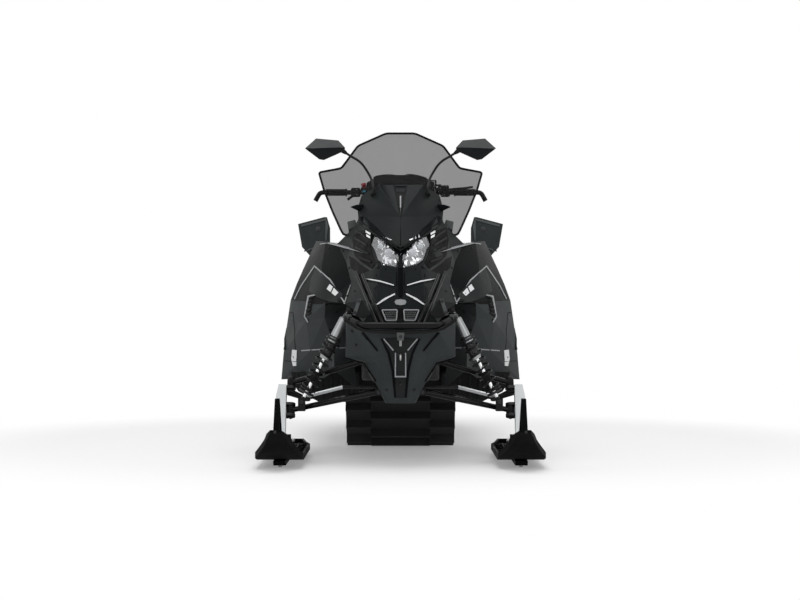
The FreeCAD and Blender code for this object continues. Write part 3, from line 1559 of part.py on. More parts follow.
def dash():
    """The instrument pod behind the windshield, standing between the inner edges of the side panels."""
    seats = [COWL_SHARES[name] for name in ("inner_front", "inner_mid", "inner_back")]
    rows = []
    for seat_at, row in zip(seats, DASH_SHARES):
        half = [body_point(*seat_at) - X_AXIS * S.seat_gap] + [body_point(*at) for at in row]
        rows.append(half + [vec(-p.x, p.y, p.z) for p in half[::-1]])
    points = {(i, j): p for i, row in enumerate(rows) for j, p in enumerate(row)}
    facets = grid_facets(len(rows), len(rows[0]))
    last = len(rows[0]) - 1
    for i in (0, len(rows) - 1):
        for j in range(last // 2):
            facets.append(((i, j), (i, j + 1), (i, last - j - 1), (i, last - j)))
    feature("dash", faceted(points, facets, body_point(*DASH_INSIDE_SHARES), S.panel_wall))


CONSOLE_SHARES = [
    (0.96, 0.2152, 0.2152, 0.64, 0.18, 0.66),
    (0.99, 0.2152, 0.2152, 0.66, 0.17, 0.69),
    (1.06, 0.2152, 0.2152, 0.655, 0.165, 0.665),
    (1.2, 0.2, 0.2, 0.57, 0.15, 0.6),
    (1.36, 0.175, 0.17, 0.55, 0.13, 0.58),
]

SEAT_SHARES = [
    (1.368, 0.165, 0.15, 0.525, 0.115, 0.575),
    (1.52, 0.18, 0.18, 0.495, 0.14, 0.545),
    (1.8, 0.19, 0.19, 0.51, 0.15, 0.56),
    (1.86, 0.19, 0.19, 0.58, 0.15, 0.632),
    (2.2, 0.19, 0.19, 0.6, 0.15, 0.645),
    (2.23, 0.185, 0.18, 0.57, 0.14, 0.6),
]

BACKREST_SHARES = [
    (2.26, 0.66),
    (2.32, 0.66),
    (2.36, 0.87),
    (2.28, 0.87),
]

BACKREST_FRONT_SHARES = [
    (0.24, 0.66),
    (0.282, 0.7),
    (0.282, 0.81),
    (0.22, 0.87),
]


def along_middle(outline, half):
    """A solid of one outline in Y and Z, even about the middle plane."""
    return flat_face(outline).extrude(X_AXIS * (2 * half)).translated(X_AXIS * -half)


def ridged(rows, floor):
    """A closed solid of cross sections with bevelled shoulders on a flat floor: each row holds its
    station, half width at the floor, the shoulder's half width and height, and the top's."""
    wires = []
    for y, floor_half, wide, shoulder, narrow, top in rows:
        foot = body_point(floor_half, y, 0)
        right = [vec(foot.x, foot.y, floor), body_point(wide, y, shoulder), body_point(narrow, y, top)]
        corners = right + [vec(-p.x, p.y, p.z) for p in right[::-1]]
        wires.append(Part.makePolygon(corners + corners[:1]))
    return Part.makeLoft(wires, True, True)


def console():
    """The tank cover between the rider's knees."""
    feature("console", ridged(CONSOLE_SHARES, S.tunnel_top))


def seat():
    """The two-step seat as one plain closed solid."""
    feature("seat", ridged(SEAT_SHARES, S.tunnel_top + S.seat_gap))


def backrest():
    """The passenger's backrest pad and the two posts behind it."""
    outline = [body_point(0, y, z) for y, z in BACKREST_SHARES]
    front = [body_point(x, 0, z) for x, z in BACKREST_FRONT_SHARES]
    front += [vec(-p.x, p.y, p.z) for p in front[::-1]]
    prism = flat_face(front).extrude(Y_AXIS * (outline[2].y + S.overrun - front[0].y))
    feature("backrest", along_middle(outline, S.body_width).common(prism))
    low, high = outline[1], outline[2]
    way = (high - low).normalize()
    away = vec(0, way.z, -way.y) * (S.grab_tube + S.seat_gap)
    foot = low + way * ((S.tunnel_top - low.z) / way.z) + away
    across = X_AXIS * S.post_offset
    half = S.post_foot / 2
    posts = [rod(high + away - across, high + away + across, S.grab_tube)]
    for x in (-across, across):
        base = foot + x
        posts.append(rod(base, high + away + x, S.grab_tube))
        plate = box(
            base.x - half, base.x + half,
            base.y - half, base.y + half,
            S.tunnel_top, S.tunnel_top + S.rack_slat_wall,
        )
        posts.append(plate)
    ground = box(
        -S.tunnel_width, S.tunnel_width,
        foot.y - S.overrun, foot.y + S.overrun,
        S.tunnel_top - S.overrun, S.tunnel_top,
    )
    feature("backrest_frame", fused(posts).cut(ground))


GUARD_SHARES = [
    (0.518, 0.831),
    (0.386, 0.866),
    (0.372, 0.866),
    (0.356, 0.811),
    (0.356, 0.7),
    (0.417, 0.639),
    (0.452, 0.664),
    (0.498, 0.715),
]

GUARD_STATION_SHARE = 1.78

GUARD_TUBE_SHARES = [
    (0.236, 2.25, 0.3),
    (0.335, 2.12, 0.57),
    (0.35, 1.86, 0.66),
    (0.4, 1.81, 0.78),
]


def passenger_guards():
    """The passenger's grab tubes with a wind guard at the front end of each."""
    route = [body_point(*at) for at in GUARD_TUBE_SHARES]
    route[0].x = S.tunnel_width / 2 - S.tunnel_bevel - S.grab_tube
    tube = bent_tube(route, S.grab_tube, S.grab_bend)
    reach = S.overrun * 2
    ground = box(-S.tunnel_width, S.tunnel_width, route[0].y - reach, route[0].y + reach, 0, S.tunnel_top)
    outline = [body_point(x, GUARD_STATION_SHARE, z) for x, z in GUARD_SHARES]
    plate = flat_face(outline).extrude(Y_AXIS * S.guard_wall)
    guard = tube.cut(ground).fuse(plate).removeSplitter()
    feature("passenger_guards", Part.makeCompound([guard, other_side(guard)]))


def rear_rack():
    """The cargo rack over the tunnel: a bent tube frame with slats and legs, bored for cargo locks."""
    half, front, back, z = S.rack_half, S.rack_front, S.rack_back, S.rack_height
    points = [vec(half, front, z), vec(half, back, z), vec(-half, back, z), vec(-half, front, z)]
    pieces = [bent_tube(points, S.rack_tube, S.bumper_bend)]
    for i in range(int(S.rack_slat_count)):
        y = front + S.rack_tube + i * S.rack_slat_pitch
        low = vec(-half, y - S.rack_pad / 2, z - S.rack_slat_wall / 2)
        pieces.append(Part.makeBox(2 * half, S.rack_pad, S.rack_slat_wall, low))
    for x in (-half + S.tunnel_bevel, half - S.tunnel_bevel):
        for i in (0, S.rack_slat_count - 1):
            foot = vec(x, front + S.rack_tube + i * S.rack_slat_pitch, S.tunnel_top)
            pieces.append(rod(foot, vec(foot.x, foot.y, z), S.rack_leg_radius))
    rack = fused(pieces)
    x = half - S.rack_bolt_inset
    for i in (1, S.rack_slat_count - 2):
        y = front + S.rack_tube + i * S.rack_slat_pitch
        for side in (-x, x):
            bolt = rod(vec(side, y, z - S.overrun), vec(side, y, z + S.overrun), S.rack_bolt_radius)
            rack = rack.cut(bolt)
    feature("rear_rack", rack)


def tail_bumper():
    """The rear grab loop behind the tunnel with the tow hitch plate."""
    half = S.tunnel_width / 2 - S.tunnel_wall - S.bumper_tube - S.seat_gap
    back, z = S.tail_bumper_back, S.tail_bumper_height
    start, low = S.tunnel_back - S.overrun, z - S.overrun
    route = [vec(half, start, low), vec(half, back, z), vec(-half, back, z), vec(-half, start, low)]
    tongue = box(
        -S.hitch_half, S.hitch_half,
        S.hitch_back - S.hitch_length, S.hitch_back,
        S.hitch_height, S.hitch_height + S.hitch_plate,
    )
    thick = S.hitch_plate
    web = box(-S.hitch_half / 2, S.hitch_half / 2, back - thick, back + thick, S.hitch_height, z)
    hole = vec(0, S.hitch_back - S.hitch_hole_inset, S.hitch_height)
    bore = rod(hole - Z_AXIS * S.overrun, hole + Z_AXIS * S.overrun, S.hitch_hole_radius)
    feature("tail_bumper", fused([bent_tube(route, S.bumper_tube, S.bumper_bend), web, tongue]).cut(bore))


def snow_flap():
    """The rubber flap that hangs behind the track."""
    top = vec(0, S.tunnel_back - 2 * S.flap_wall, S.tunnel_top - S.tunnel_wall - S.seat_gap)
    low = vec(0, S.flap_back - S.flap_wall, S.flap_low)
    wall = Y_AXIS * S.flap_wall
    feature("snow_flap", along_middle([top, top + wall, low + wall, low], S.flap_half))


def tail_lamp():
    """The sloped lamp on the back end of the tunnel."""
    outline = [
        ("tunnel_back - lamp_wall", "tunnel_top"),
        ("tunnel_back", "tunnel_top"),
        ("tunnel_back - lamp_slope", "tunnel_top + lamp_height"),
        ("tunnel_back - lamp_wall", "tunnel_top + lamp_height"),
    ]
    keep(pad("tail_lamp", "YZ_Plane", outline, "2 * lamp_half"), "tail_lamp")


def main():
    tunnel()
    running_boards()
    track()
    slide_rails()
    idler_wheels()
    drive_shaft()
    suspension_links()
    bulkhead()
    tower()
    arms("upper_arms", "upper", S.ball_spacing)
    arms("lower_arms", "lower", 0)
    front_dampers()
    front_springs()
    spindles()
    tie_rods()
    skis()
    engine()
    nose = cowl()
    headlamps(nose)
    belly_pan()
    bumper()
    windshield(nose)
    mirrors()
    dash()
    console()
    seat()
    backrest()
    passenger_guards()
    steering_post()
    bearing_and_braces()
    handlebar()
    grips()
    controls()
    rear_rack()
    tail_bumper()
    snow_flap()
    tail_lamp()
    write_parts()


def write_parts():
    """Checks every object, then writes each sub-part to its own file."""
    doc.recompute()
    for thing in doc.Objects:
        if "Invalid" in thing.State or "Error" in thing.State:
            raise RuntimeError(f"{thing.Label} is {thing.State}")
    for thing in NODES:
        if thing.Shape.isNull() or not thing.Shape.isValid():
            raise RuntimeError(f"{thing.Label} has no valid shape")
    os.makedirs("parts", exist_ok=True)
    for thing in NODES:
        thing.Shape.exportStep(f"parts/{thing.Label}.step")
        print(thing.Label, round(thing.Shape.Volume), len(thing.Shape.Solids))


main()
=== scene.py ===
"""The looks of a two-seat touring snowmobile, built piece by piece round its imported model."""
import json
import math
import random
from contextlib import contextmanager

import bmesh
import bpy
from bpy.props import (
    FloatProperty,
    FloatVectorProperty,
    IntProperty,
    PointerProperty,
)
from bpy.types import Operator, Panel, PropertyGroup
from mathutils import Matrix, Vector
from mathutils.bvhtree import BVHTree


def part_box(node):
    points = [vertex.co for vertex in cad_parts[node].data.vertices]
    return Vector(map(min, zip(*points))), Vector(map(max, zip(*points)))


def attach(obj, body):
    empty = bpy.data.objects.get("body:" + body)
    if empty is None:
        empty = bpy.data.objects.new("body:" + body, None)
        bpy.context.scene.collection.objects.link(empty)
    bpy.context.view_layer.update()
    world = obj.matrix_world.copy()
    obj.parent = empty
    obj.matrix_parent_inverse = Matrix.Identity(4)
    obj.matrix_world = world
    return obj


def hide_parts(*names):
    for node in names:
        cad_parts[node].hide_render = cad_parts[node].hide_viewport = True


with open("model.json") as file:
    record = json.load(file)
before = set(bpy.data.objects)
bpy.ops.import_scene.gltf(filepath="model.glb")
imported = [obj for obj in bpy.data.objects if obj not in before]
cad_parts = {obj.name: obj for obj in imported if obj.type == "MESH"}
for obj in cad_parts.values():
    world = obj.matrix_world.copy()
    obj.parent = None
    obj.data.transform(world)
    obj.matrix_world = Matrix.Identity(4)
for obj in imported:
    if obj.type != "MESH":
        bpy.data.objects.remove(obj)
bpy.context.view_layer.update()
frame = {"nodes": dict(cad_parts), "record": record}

bl_info = {
    "name": "Touring snowmobile",
    "version": (1, 0, 0),
    "blender": (4, 5, 0),
    "location": "View3D > Sidebar > Snowmobile",
    "description": "Builds the finished pieces of a two-seat snowmobile round its model",
    "category": "Object",
}

CHASSIS = "chassis"
BAR = "handlebar_assembly"
X = Vector((1, 0, 0))
Y = Vector((0, 1, 0))
Z = Vector((0, 0, 1))


# Camera of the photograph

PHOTO_WIDTH = 800
PHOTO_FOCUS = 1918
PHOTO_CENTRE = (400.5, 300)
EYE = Vector((0, -9.39, 0.697))
NEAR_STATION = -1.3


def sight(u, v):
    """The direction from the camera through a pixel of the photograph."""
    return Vector(((u - PHOTO_CENTRE[0]) / PHOTO_FOCUS, 1, (PHOTO_CENTRE[1] - v) / PHOTO_FOCUS))


def at_station(u, v, y):
    """The point that a pixel shows, where its distance along the machine is known."""
    return EYE + sight(u, v) * (y - EYE.y)


def mirrored(points):
    """The points' mirror images across the middle of the machine."""
    return [Vector((-p.x, p.y, p.z)) for p in points]


class Surface:
    """A set of CAD nodes that rays can hit."""

    def __init__(self, *nodes):
        corners, cells = [], []
        for node in nodes:
            mesh = frame["nodes"][node].data
            start = len(corners)
            corners += [v.co.copy() for v in mesh.vertices]
            cells += [[start + i for i in face.vertices] for face in mesh.polygons]
        self.tree = BVHTree.FromPolygons(corners, cells)

    def seen(self, u, v, fallback=None):
        """The point and outward normal that a pixel of the photograph shows."""
        return self.hit(EYE, sight(u, v), fallback)

    def hit(self, start, way, fallback=None):
        """What a ray meets; after a miss its point at a known station, or else the nearest place."""
        point, normal, _, _ = self.tree.ray_cast(start, way.normalized())
        if point is None and fallback is not None:
            return start + way * ((fallback - start.y) / way.y), -Y
        if point is None:
            point, normal, _, _ = self.tree.find_nearest(start + way * (NEAR_STATION - start.y))
        if normal.dot(way) > 0:
            normal = -normal
        return point, normal


class Flank(Surface):
    """The same from the machine's left, where a place is its distance along and its height."""

    def seen(self, along, up, fallback=None):
        """The point and outward normal at a place of the flank."""
        return self.hit(Vector((1, along, up)), -X, fallback)


# Shader nodes

OUTPUT_KINDS = {
    "Colour": "NodeSocketColor",
    "Normal": "NodeSocketVector",
    "Roughness": "NodeSocketFloat",
}


def feed(tree, entry, value):
    """Gives an input a plain value, or links it to the output that makes it."""
    if isinstance(value, bpy.types.NodeSocket):
        tree.links.new(value, entry)
    else:
        entry.default_value = value


def node(tree, kind, values=None, **settings):
    """A node with its settings made and its inputs fed."""
    made = tree.nodes.new(kind)
    for key, value in settings.items():
        setattr(made, key, value)
    for label, value in (values or {}).items():
        feed(tree, made.inputs[label], value)
    return made


def noise(tree, vector, scale, detail, rough=0.5):
    """Cloudy noise from 0 to 1."""
    values = {"Vector": vector, "Scale": scale, "Detail": detail, "Roughness": rough}
    return node(tree, "ShaderNodeTexNoise", values).outputs["Fac"]


def calc(tree, operation, first, second):
    """The result of a sum on two values."""
    return node(tree, "ShaderNodeMath", {0: first, 1: second}, operation=operation).outputs[0]


def ranged(tree, value, low=0.0, high=1.0, to_low=0.0, to_high=1.0, **settings):
    """A value carried from one range to another."""
    values = {"Value": value, "From Min": low, "From Max": high, "To Min": to_low, "To Max": to_high}
    return node(tree, "ShaderNodeMapRange", values, **settings).outputs["Result"]


def mixed(tree, mask, low, high):
    """The colour between two, by a mask; each is a plain colour or an output."""
    low, high = ((*c, 1) if isinstance(c, tuple) else c for c in (low, high))
    return node(tree, "ShaderNodeMix", {0: mask, 6: low, 7: high}, data_type="RGBA").outputs[2]


def bumped(tree, height, strength, distance):
    """A normal that follows a height."""
    values = {"Height": height, "Strength": strength, "Distance": distance}
    return node(tree, "ShaderNodeBump", values).outputs["Normal"]


def new_group(name, **inputs):
    """A node group and the outputs of its input node; each kind follows from the default."""
    group = bpy.data.node_groups.new(name, "ShaderNodeTree")
    for label, default in inputs.items():
        kind = "NodeSocketVector"
        if isinstance(default, float):
            kind = "NodeSocketFloat"
        elif default and len(default) == 4:
            kind = "NodeSocketColor"
        label = label.replace("_", " ")
        socket = group.interface.new_socket(name=label, in_out="INPUT", socket_type=kind)
        if default:
            socket.default_value = default
    return group, group.nodes.new("NodeGroupInput").outputs


def close_group(group, **results):
    """Gives a node group the outputs for its results."""
    for label in results:
        group.interface.new_socket(name=label, in_out="OUTPUT", socket_type=OUTPUT_KINDS[label])
    node(group, "NodeGroupOutput", results)
    return group


def group_grain():
    """Fine pebbled grain, as on moulded plastic and rubber."""
    group, given = new_group("Moulded grain", Vector=None, Scale=600.0, Depth=0.3)
    values = {"Vector": given["Vector"], "Scale": given["Scale"]}
    pebbles = node(group, "ShaderNodeTexVoronoi", values, feature="SMOOTH_F1").outputs["Distance"]
    return close_group(group, Normal=bumped(group, pebbles, given["Depth"], 0.0004))


def group_mottle():
    """Slow changes of tone and gloss, as handling and weather leave them."""
    group, given = new_group(
        "Handled tone", Vector=None, Clean=(0.05, 0.05, 0.05, 1), Dull=(0.08, 0.08, 0.08, 1),
        Scale=9.0, Rough_low=0.3, Rough_high=0.45,
    )
    clouds = noise(group, given["Vector"], given["Scale"], 5, 0.62)
    mask = ranged(group, clouds, 0.38, 0.66)
    colour = mixed(group, mask, given["Clean"], given["Dull"])
    rough = ranged(group, mask, to_low=given["Rough low"], to_high=given["Rough high"])
    return close_group(group, Colour=colour, Roughness=rough)


def group_scratches():
    """Thin scuffs that lighten a colour, drawn out along the machine."""
    group, given = new_group(
        "Scuffs", Vector=None, Colour=(0.05, 0.05, 0.05, 1), Scuffed=(0.2, 0.2, 0.2, 1), Amount=0.5,
    )
    drawn_out = node(group, "ShaderNodeMapping", {"Vector": given["Vector"], "Scale": (60, 6, 90)})
    thin = ranged(group, noise(group, drawn_out.outputs["Vector"], 2.2, 4, 0.7), 0.66, 0.74)
    where = ranged(group, noise(group, given["Vector"], 7, 2), 0.5, 0.7)
    mask = calc(group, "MULTIPLY", calc(group, "MULTIPLY", thin, where), given["Amount"])
    return close_group(group, Colour=mixed(group, mask, given["Colour"], given["Scuffed"]))


def group_hide():
    """Creased leather-like grain of seat vinyl."""
    group, given = new_group("Vinyl grain", Vector=None, Scale=300.0, Depth=0.4)
    values = {"Vector": given["Vector"], "Scale": given["Scale"]}
    cells = node(group, "ShaderNodeTexVoronoi", values, feature="DISTANCE_TO_EDGE")
    creases = ranged(group, cells.outputs["Distance"], 0.0, 0.18)
    height = calc(group, "ADD", creases, noise(group, given["Vector"], 40, 3))
    return close_group(group, Normal=bumped(group, height, given["Depth"], 0.0006))


def group_brushed():
    """Fine lines of brushed or turned metal."""
    group, given = new_group("Brushed lines", Vector=None, Stretch=(1, 1, 1), Depth=0.2)
    values = {0: given["Vector"], 1: given["Stretch"]}
    stretched = node(group, "ShaderNodeVectorMath", values, operation="MULTIPLY").outputs[0]
    lines = noise(group, stretched, 60, 4, 0.6)
    return close_group(group, Normal=bumped(group, lines, given["Depth"], 0.0003))


GROUP_MAKERS = {
    "grain": group_grain,
    "mottle": group_mottle,
    "scratches": group_scratches,
    "hide": group_hide,
    "brushed": group_brushed,
}
GROUPS = {}


def placed(tree, kind, vector, **values):
    """The outputs of a shared node group, placed in a material with its own values."""
    if kind not in GROUPS:
        GROUPS[kind] = GROUP_MAKERS[kind]()
    made = node(tree, "ShaderNodeGroup", {}, node_tree=GROUPS[kind])
    for label, value in {"Vector": vector, **values}.items():
        feed(tree, made.inputs[label.replace("_", " ")], value)
    return made.outputs


# Finishes

def lighter(colour, times):
    """A colour times a factor, at most white."""
    return tuple(min(1.0, c * times) for c in colour)


def blank_material(name):
    """A material, its node tree and the place on the object that its textures follow."""
    made = bpy.data.materials.new(name)
    made.use_nodes = True
    return made, made.node_tree, node(made.node_tree, "ShaderNodeTexCoord").outputs["Object"]


def shade(tree, **values):
    """Feeds the sockets of a material's shader."""
    shader = tree.nodes["Principled BSDF"]
    for label, value in values.items():
        feed(tree, shader.inputs[label.replace("_", " ")], value)


def solid_finish(
    name, colour, rough, metal=0.0, coat=0.0, dull=1.5, patch=7.0, grain=None,
    scuffs=0.0, brushed=None, hide=None, sheen=0.0, specular=0.08,
):
    """A solid finish: toned base colour, its own gloss, and the grain or brushing it has."""
    made, tree, place = blank_material(name)
    tone = placed(
        tree, "mottle", place,
        Clean=(*colour, 1), Dull=(*lighter(colour, dull), 1), Scale=patch,
        Rough_low=rough, Rough_high=min(1, rough * 1.35 + 0.02),
    )
    base = tone["Colour"]
    if scuffs:
        scuffed = (*lighter([c + 0.02 for c in colour], 3), 1)
        base = placed(tree, "scratches", place, Colour=base, Scuffed=scuffed, Amount=scuffs)["Colour"]
    shade(
        tree, Base_Color=base, Roughness=tone["Roughness"], Metallic=metal, Specular_IOR_Level=specular,
        Coat_Weight=coat, Coat_Roughness=0.06, Sheen_Weight=sheen, Sheen_Roughness=0.5,
    )
    for kind, label, cover in (
        ("grain", "Scale", grain), ("hide", "Scale", hide), ("brushed", "Stretch", brushed),
    ):
        if cover:
            size, depth = cover
            shade(tree, Normal=placed(tree, kind, place, **{label: size}, Depth=depth)["Normal"])
    return made


def screen_finish():
    """Smoked polycarbonate that lets a quarter of the light through."""
    made, tree, place = blank_material("smoked polycarbonate")
    look = bpy.context.scene.snow_screen
    haze = noise(tree, place, 5, 4)
    shade(
        tree, Base_Color=mixed(tree, haze, tuple(look.tint), lighter(look.tint, 1.25)),
        Roughness=ranged(tree, haze, to_low=0.03, to_high=0.09),
        Alpha=look.density, IOR=1.45, Specular_IOR_Level=0.03,
    )
    return made


def clear_finish():
    """Clear hard plastic of a lamp's cover."""
    made, tree, place = blank_material("clear lamp cover")
    rough = ranged(tree, noise(tree, place, 30, 3), to_low=0.02, to_high=0.06)
    shade(tree, Base_Color=(0.9, 0.93, 0.95, 1), Roughness=rough, Alpha=0.14, IOR=1.5)
    return made


def red_lens_finish():
    """Ribbed red plastic of the tail lamp."""
    made, tree, place = blank_material("red lens")
    values = {"Scale": 60, "Vector": place}
    wave = node(tree, "ShaderNodeTexWave", values, wave_type="BANDS", bands_direction="X")
    bands = wave.outputs["Fac"]
    shade(
        tree, Base_Color=mixed(tree, bands, (0.36, 0.004, 0.006), (0.62, 0.01, 0.012)),
        Normal=bumped(tree, bands, 0.4, 0.001), Roughness=0.08, Coat_Weight=0.6,
    )
    return made


def glass_finish(name, colour, rough=0.03):
    """Dark glass of a display or the silver of a mirror."""
    made, tree, place = blank_material(name)
    smears = noise(tree, place, 18, 4)
    shade(
        tree, Base_Color=mixed(tree, smears, colour, lighter(colour, 1.2)),
        Roughness=ranged(tree, smears, to_low=rough, to_high=rough + 0.06), Coat_Weight=0.5,
    )
    return made


def projector_finish():
    """The pale inner body of a lamp's projector."""
    made, tree, place = blank_material("projector glass")
    rings = noise(tree, place, 60, 3)
    shade(
        tree, Base_Color=mixed(tree, rings, (0.16, 0.17, 0.19), (0.6, 0.62, 0.65)), Roughness=0.05,
        Coat_Weight=1.0, Emission_Color=(0.9, 0.95, 1.0, 1), Emission_Strength=0.06,
    )
    return made


# Slot, colour (or the setting that holds it), roughness and the rest of each solid finish
SOLID_FINISHES = {
    "gloss panel": ("gloss_black", "gloss_colour", 0.24, dict(specular=0.014, dull=1.35, scuffs=0.25)),
    "hood panel": ("gloss_black", "hood_colour", 0.33, dict(specular=0.04, dull=1.3, scuffs=0.25)),
    "dark panel": ("matte_black", "panel_colour", 0.46, dict(dull=1.3, grain=(900, 0.25), scuffs=0.35)),
    # Lighter gloss black for the mirror heads' upper facets, a painted highlight on the black shell
    "mirror shell": ("gloss_black", (0.052, 0.054, 0.055), 0.3, dict(specular=0.3, dull=1.2)),
    "grained plastic": (
        "matte_black", (0.012, 0.0125, 0.013), 0.55, dict(dull=1.6, grain=(700, 0.5), scuffs=0.3),
    ),
    # Near black of trims, frames, seams and vent wells; on the cheeks beside the lamps it is also painted
    # shade
    "black recess": ("matte_black", (0.003, 0.003, 0.003), 0.6, dict(dull=1.6, grain=(700, 0.4))),
    "powder coat": (
        "black_coated", (0.009, 0.0095, 0.01), 0.38, dict(dull=1.6, grain=(1400, 0.25), scuffs=0.5),
    ),
    "gloss tube": ("black_coated", (0.004, 0.004, 0.0045), 0.14, dict(specular=0.14, scuffs=0.3)),
    # Dark grey of brackets, mesh and fasteners; on the guards' rims it is also a painted highlight
    "bracket paint": ("black_coated", (0.075, 0.08, 0.081), 0.4, dict(dull=1.3, scuffs=0.4)),
    "brushed alloy": (
        "rail_alloy", (0.42, 0.43, 0.44), 0.36,
        dict(metal=0.9, dull=0.8, brushed=((1, 14, 1), 0.3), scuffs=0.3),
    ),
    "bare alloy": (
        "rod_steel", (0.62, 0.64, 0.65), 0.3, dict(metal=0.95, dull=0.8, brushed=((1, 12, 1), 0.25)),
    ),
    "cast alloy": ("spindle_metal", (0.66, 0.68, 0.69), 0.42, dict(metal=0.2, dull=0.93, grain=(500, 0.3))),
    "damper body": (
        "damper_metal", (0.3, 0.31, 0.315), 0.3, dict(metal=0.85, dull=1.2, brushed=((9, 9, 1), 0.15)),
    ),
    "chrome": (None, (0.78, 0.79, 0.8), 0.08, dict(metal=1.0, dull=0.9, patch=16)),
    "spring paint": ("spring_steel", (0.008, 0.008, 0.009), 0.3, dict(coat=0.1, scuffs=0.4)),
    "zinc": (None, (0.5, 0.5, 0.48), 0.35, dict(metal=0.9, dull=0.75, patch=60)),
    "black zinc": (None, (0.03, 0.03, 0.032), 0.4, dict(metal=0.7, dull=1.6, patch=60)),
    "track rubber": (
        "track_rubber", (0.0075, 0.0075, 0.0075), 0.72,
        dict(dull=2.0, patch=14, grain=(420, 0.7), specular=0.35),
    ),
    "wheel rubber": ("wheel_rubber", (0.01, 0.01, 0.01), 0.6, dict(dull=1.8, patch=20, grain=(500, 0.4))),
    "wheel plastic": (None, (0.02, 0.021, 0.022), 0.45, dict(dull=1.4, grain=(900, 0.3))),
    "ski plastic": (
        "ski_plastic", (0.002, 0.0022, 0.0024), 0.5,
        dict(specular=0.03, dull=1.6, grain=(260, 0.35), scuffs=0.6),
    ),
    "runner steel": (
        "runner_steel", (0.3, 0.3, 0.3), 0.3, dict(metal=1.0, dull=0.7, brushed=((30, 1, 1), 0.3)),
    ),
    "engine casting": (
        "engine_metal", (0.09, 0.092, 0.095), 0.5, dict(metal=0.6, dull=0.7, grain=(300, 0.5)),
    ),
    "seat vinyl": ("seat_vinyl", (0.012, 0.0122, 0.0128), 0.5, dict(hide=(330, 0.5), sheen=0.15)),
    "side vinyl": ("seat_vinyl", (0.019, 0.0195, 0.021), 0.55, dict(dull=1.3, hide=(420, 0.35), sheen=0.06)),
    "stitching": (None, (0.16, 0.165, 0.17), 0.7, dict(dull=1.3, patch=90)),
    "grip rubber": ("grip_rubber", (0.009, 0.009, 0.009), 0.65, dict(dull=1.8, patch=60, grain=(900, 0.5))),
    "flap rubber": ("flap_rubber", (0.011, 0.011, 0.0115), 0.6, dict(dull=1.7, grain=(160, 0.6), scuffs=0.5)),
    "white print": (None, (0.72, 0.73, 0.74), 0.35, dict(dull=0.93, patch=30)),
    # Grey of plates and frames; as thin strips on creases of the hood, the side panels and the belly pan it
    # is a painted highlight
    "grey print": (None, (0.3, 0.31, 0.32), 0.35, dict(dull=0.9, patch=30)),
    # Dark of the seat piping and the guard bolts; on a share of the headlamp reflectors' cells it is a
    # painted dark reflection
    "dark print": (None, (0.05, 0.052, 0.055), 0.3, dict(dull=1.2, patch=30)),
    "reflector": ("lamp_lens", (0.86, 0.87, 0.89), 0.1, dict(metal=1.0, dull=0.94, patch=40)),
    "red switch": (None, (0.55, 0.03, 0.05), 0.35, dict(dull=0.8, patch=80)),
    "blue switch": (None, (0.08, 0.3, 0.42), 0.35, dict(dull=0.85, patch=80)),
}
# Slot, maker and its arguments
OTHER_FINISHES = {
    "projector glass": (None, projector_finish),
    "smoked screen": ("smoke_screen", screen_finish),
    "clear cover": ("lamp_lens", clear_finish),
    "red lens": ("red_lens", red_lens_finish),
    "mirror glass": (None, glass_finish, "mirror glass", (0.75, 0.78, 0.8)),
    "display glass": (None, glass_finish, "display glass", (0.02, 0.025, 0.03)),
    "pale display": (None, glass_finish, "pale display", (0.62, 0.66, 0.67), 0.12),
}
MADE = {}


def finish(name):
    """A finish's material, made when it is first asked for."""
    if name not in MADE and name in SOLID_FINISHES:
        _, colour, rough, settings = SOLID_FINISHES[name]
        if isinstance(colour, str):
            colour = tuple(getattr(bpy.context.scene.snow_look, colour))
        MADE[name] = solid_finish(name, colour, rough, **settings)
    elif name not in MADE:
        _, maker, *given = OTHER_FINISHES[name]
        MADE[name] = maker(*given)
    return MADE[name]


# Shapes

def linked(name, data):
    """A new object in the scene."""
    made = bpy.data.objects.new(name, data)
    bpy.context.scene.collection.objects.link(made)
    return made


def piece_from(bm, name, label, body=CHASSIS, crease=35.0):
    """A piece from a bmesh, with its finish and with its creases kept sharp."""
    bmesh.ops.remove_doubles(bm, verts=bm.verts, dist=1e-6)
    for face in bm.faces:
        face.smooth = True
    for edge in bm.edges:
        if len(edge.link_faces) != 2 or edge.calc_face_angle(0) > math.radians(crease):
            edge.smooth = False
    mesh = bpy.data.meshes.new(name)
    bm.to_mesh(mesh)
    bm.free()
    mesh.materials.append(finish(label))
    piece = linked(name, mesh)
    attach(piece, body)
    return piece


def soften(piece, width, segments=2, angle=24.0):
    """Rounds a piece's edges with a live bevel."""
    bevel = piece.modifiers.new("Rounded edges", "BEVEL")
    bevel.width = width
    bevel.segments = segments
    bevel.limit_method = "ANGLE"
    bevel.angle_limit = math.radians(angle)
    bevel.use_clamp_overlap = True
    bevel.miter_outer = "MITER_ARC" if segments > 1 else "MITER_SHARP"
    return piece


@contextmanager
def draft(name, label, body=CHASSIS, crease=35.0, both=False, rounding=None):
    """A new piece, whose mesh is made under the with; both mirrors it to the other side as well."""
    bm = bmesh.new()
    yield bm
    if both:
        reflect(bm)
    piece = piece_from(bm, name, label, body, crease)
    if rounding:
        soften(piece, rounding)


def node_shells(name):
    """The CAD node's mesh as it was packed, with its corners joined."""
    bm = bmesh.new()
    bm.from_mesh(frame["nodes"][name].data)
    bmesh.ops.remove_doubles(bm, verts=bm.verts, dist=2e-5)
    return bm


def node_bmesh(name):
    """The CAD node's mesh, with its loose triangles joined into faces."""
    bm = node_shells(name)
    bmesh.ops.dissolve_limit(bm, angle_limit=math.radians(1.0), verts=bm.verts, edges=bm.edges)
    return bm


def body_of_node(name):
    """The body that a CAD node moves with."""
    for body, members in frame["record"]["behaviour"]["bodies"].items():
        if name in members:
            return body
    raise ValueError(f"no body holds {name}")


